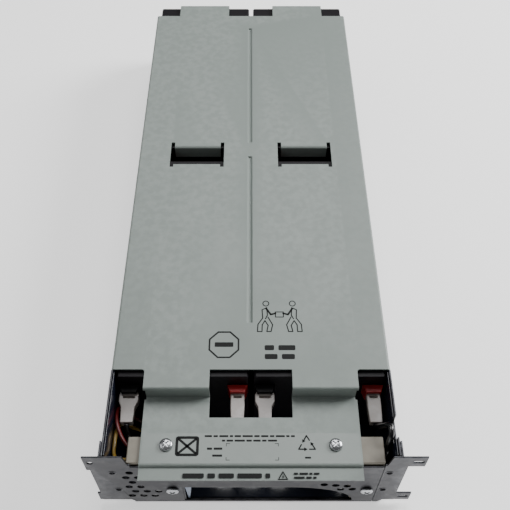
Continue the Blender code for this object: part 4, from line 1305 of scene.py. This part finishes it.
@dataclass
class Studio:
    """Pale floor, soft lights and the camera."""

    camera_place: tuple[float, float, float] = (0.0, -0.424, 0.521)
    camera_pitch: float = 52.7
    lens: float = 51.04
    sensor: float = 36.0
    shift: float = 0.0082
    floor_half: float = 6.0
    floor_glow: float = 0.80
    world_glow: float = 0.16

    def build_floor(self) -> None:
        """A wide pale floor under the module."""
        mesh = bpy.data.meshes.new("floor")
        half = self.floor_half
        corners = [(-half, -half, 0.0), (half, -half, 0.0), (half, half, 0.0), (-half, half, 0.0)]
        mesh.from_pydata(corners, [], [(0, 1, 2, 3)])
        mesh.materials.append(FLOOR.material())
        shader = mesh.materials[0].node_tree.nodes["Principled BSDF"]
        shader.inputs["Emission Color"].default_value = (1.0, 1.0, 1.0, 1.0)
        shader.inputs["Emission Strength"].default_value = self.floor_glow
        floor = bpy.data.objects.new("floor", mesh)
        bpy.context.scene.collection.objects.link(floor)

    def build_light(self, name: str, place: Vector, target: Vector, size: float, power: float) -> None:
        """Add a square area light.

        Args:
            name: The light's name.
            place: Where it stands.
            target: What it points at.
            size: Its side.
            power: Its power in watts.
        """
        data = bpy.data.lights.new(name, "AREA")
        data.shape = "SQUARE"
        data.size = size
        data.energy = power
        lamp = bpy.data.objects.new(name, data)
        bpy.context.scene.collection.objects.link(lamp)
        lamp.location = place
        lamp.rotation_euler = (target - place).to_track_quat("-Z", "Y").to_euler()

    def build_lights(self) -> None:
        """Key from the right, fill from the left, a top panel and a pale world."""
        target = Vector((0.0, -0.05, 0.04))
        self.build_light("key_right", Vector((1.4, 0.5, 1.0)), target, 0.8, 36.0)
        self.build_light("fill_left", Vector((-1.4, -0.2, 1.3)), target, 1.2, 5.0)
        self.build_light("top_rear", Vector((0.1, 0.9, 1.8)), target, 1.2, 20.0)
        world = bpy.data.worlds.new("studio")
        world.use_nodes = True
        background = world.node_tree.nodes["Background"]
        background.inputs["Color"].default_value = (1.0, 1.0, 1.0, 1.0)
        background.inputs["Strength"].default_value = self.world_glow
        bpy.context.scene.world = world

    def build_camera(self) -> None:
        """The camera, above and in front of the module."""
        data = bpy.data.cameras.new("camera")
        data.lens = self.lens
        data.sensor_width = self.sensor
        data.shift_x = self.shift
        camera = bpy.data.objects.new("camera", data)
        bpy.context.scene.collection.objects.link(camera)
        camera.location = self.camera_place
        camera.rotation_euler = (math.radians(90.0 - self.camera_pitch), 0.0, 0.0)
        bpy.context.scene.camera = camera

    def build(self) -> None:
        """Build the whole studio."""
        self.build_camera()
        self.build_floor()
        self.build_lights()


def main() -> None:
    """Build the studio and every sub-assembly."""
    logging.basicConfig(level=logging.INFO, format="%(name)s: %(message)s")
    Studio().build()
    Chassis().build()
    BatteryBank().build()
    Wiring().build()
    Screws().build()
    Cover().build()


if __name__ == "__main__":
    main()
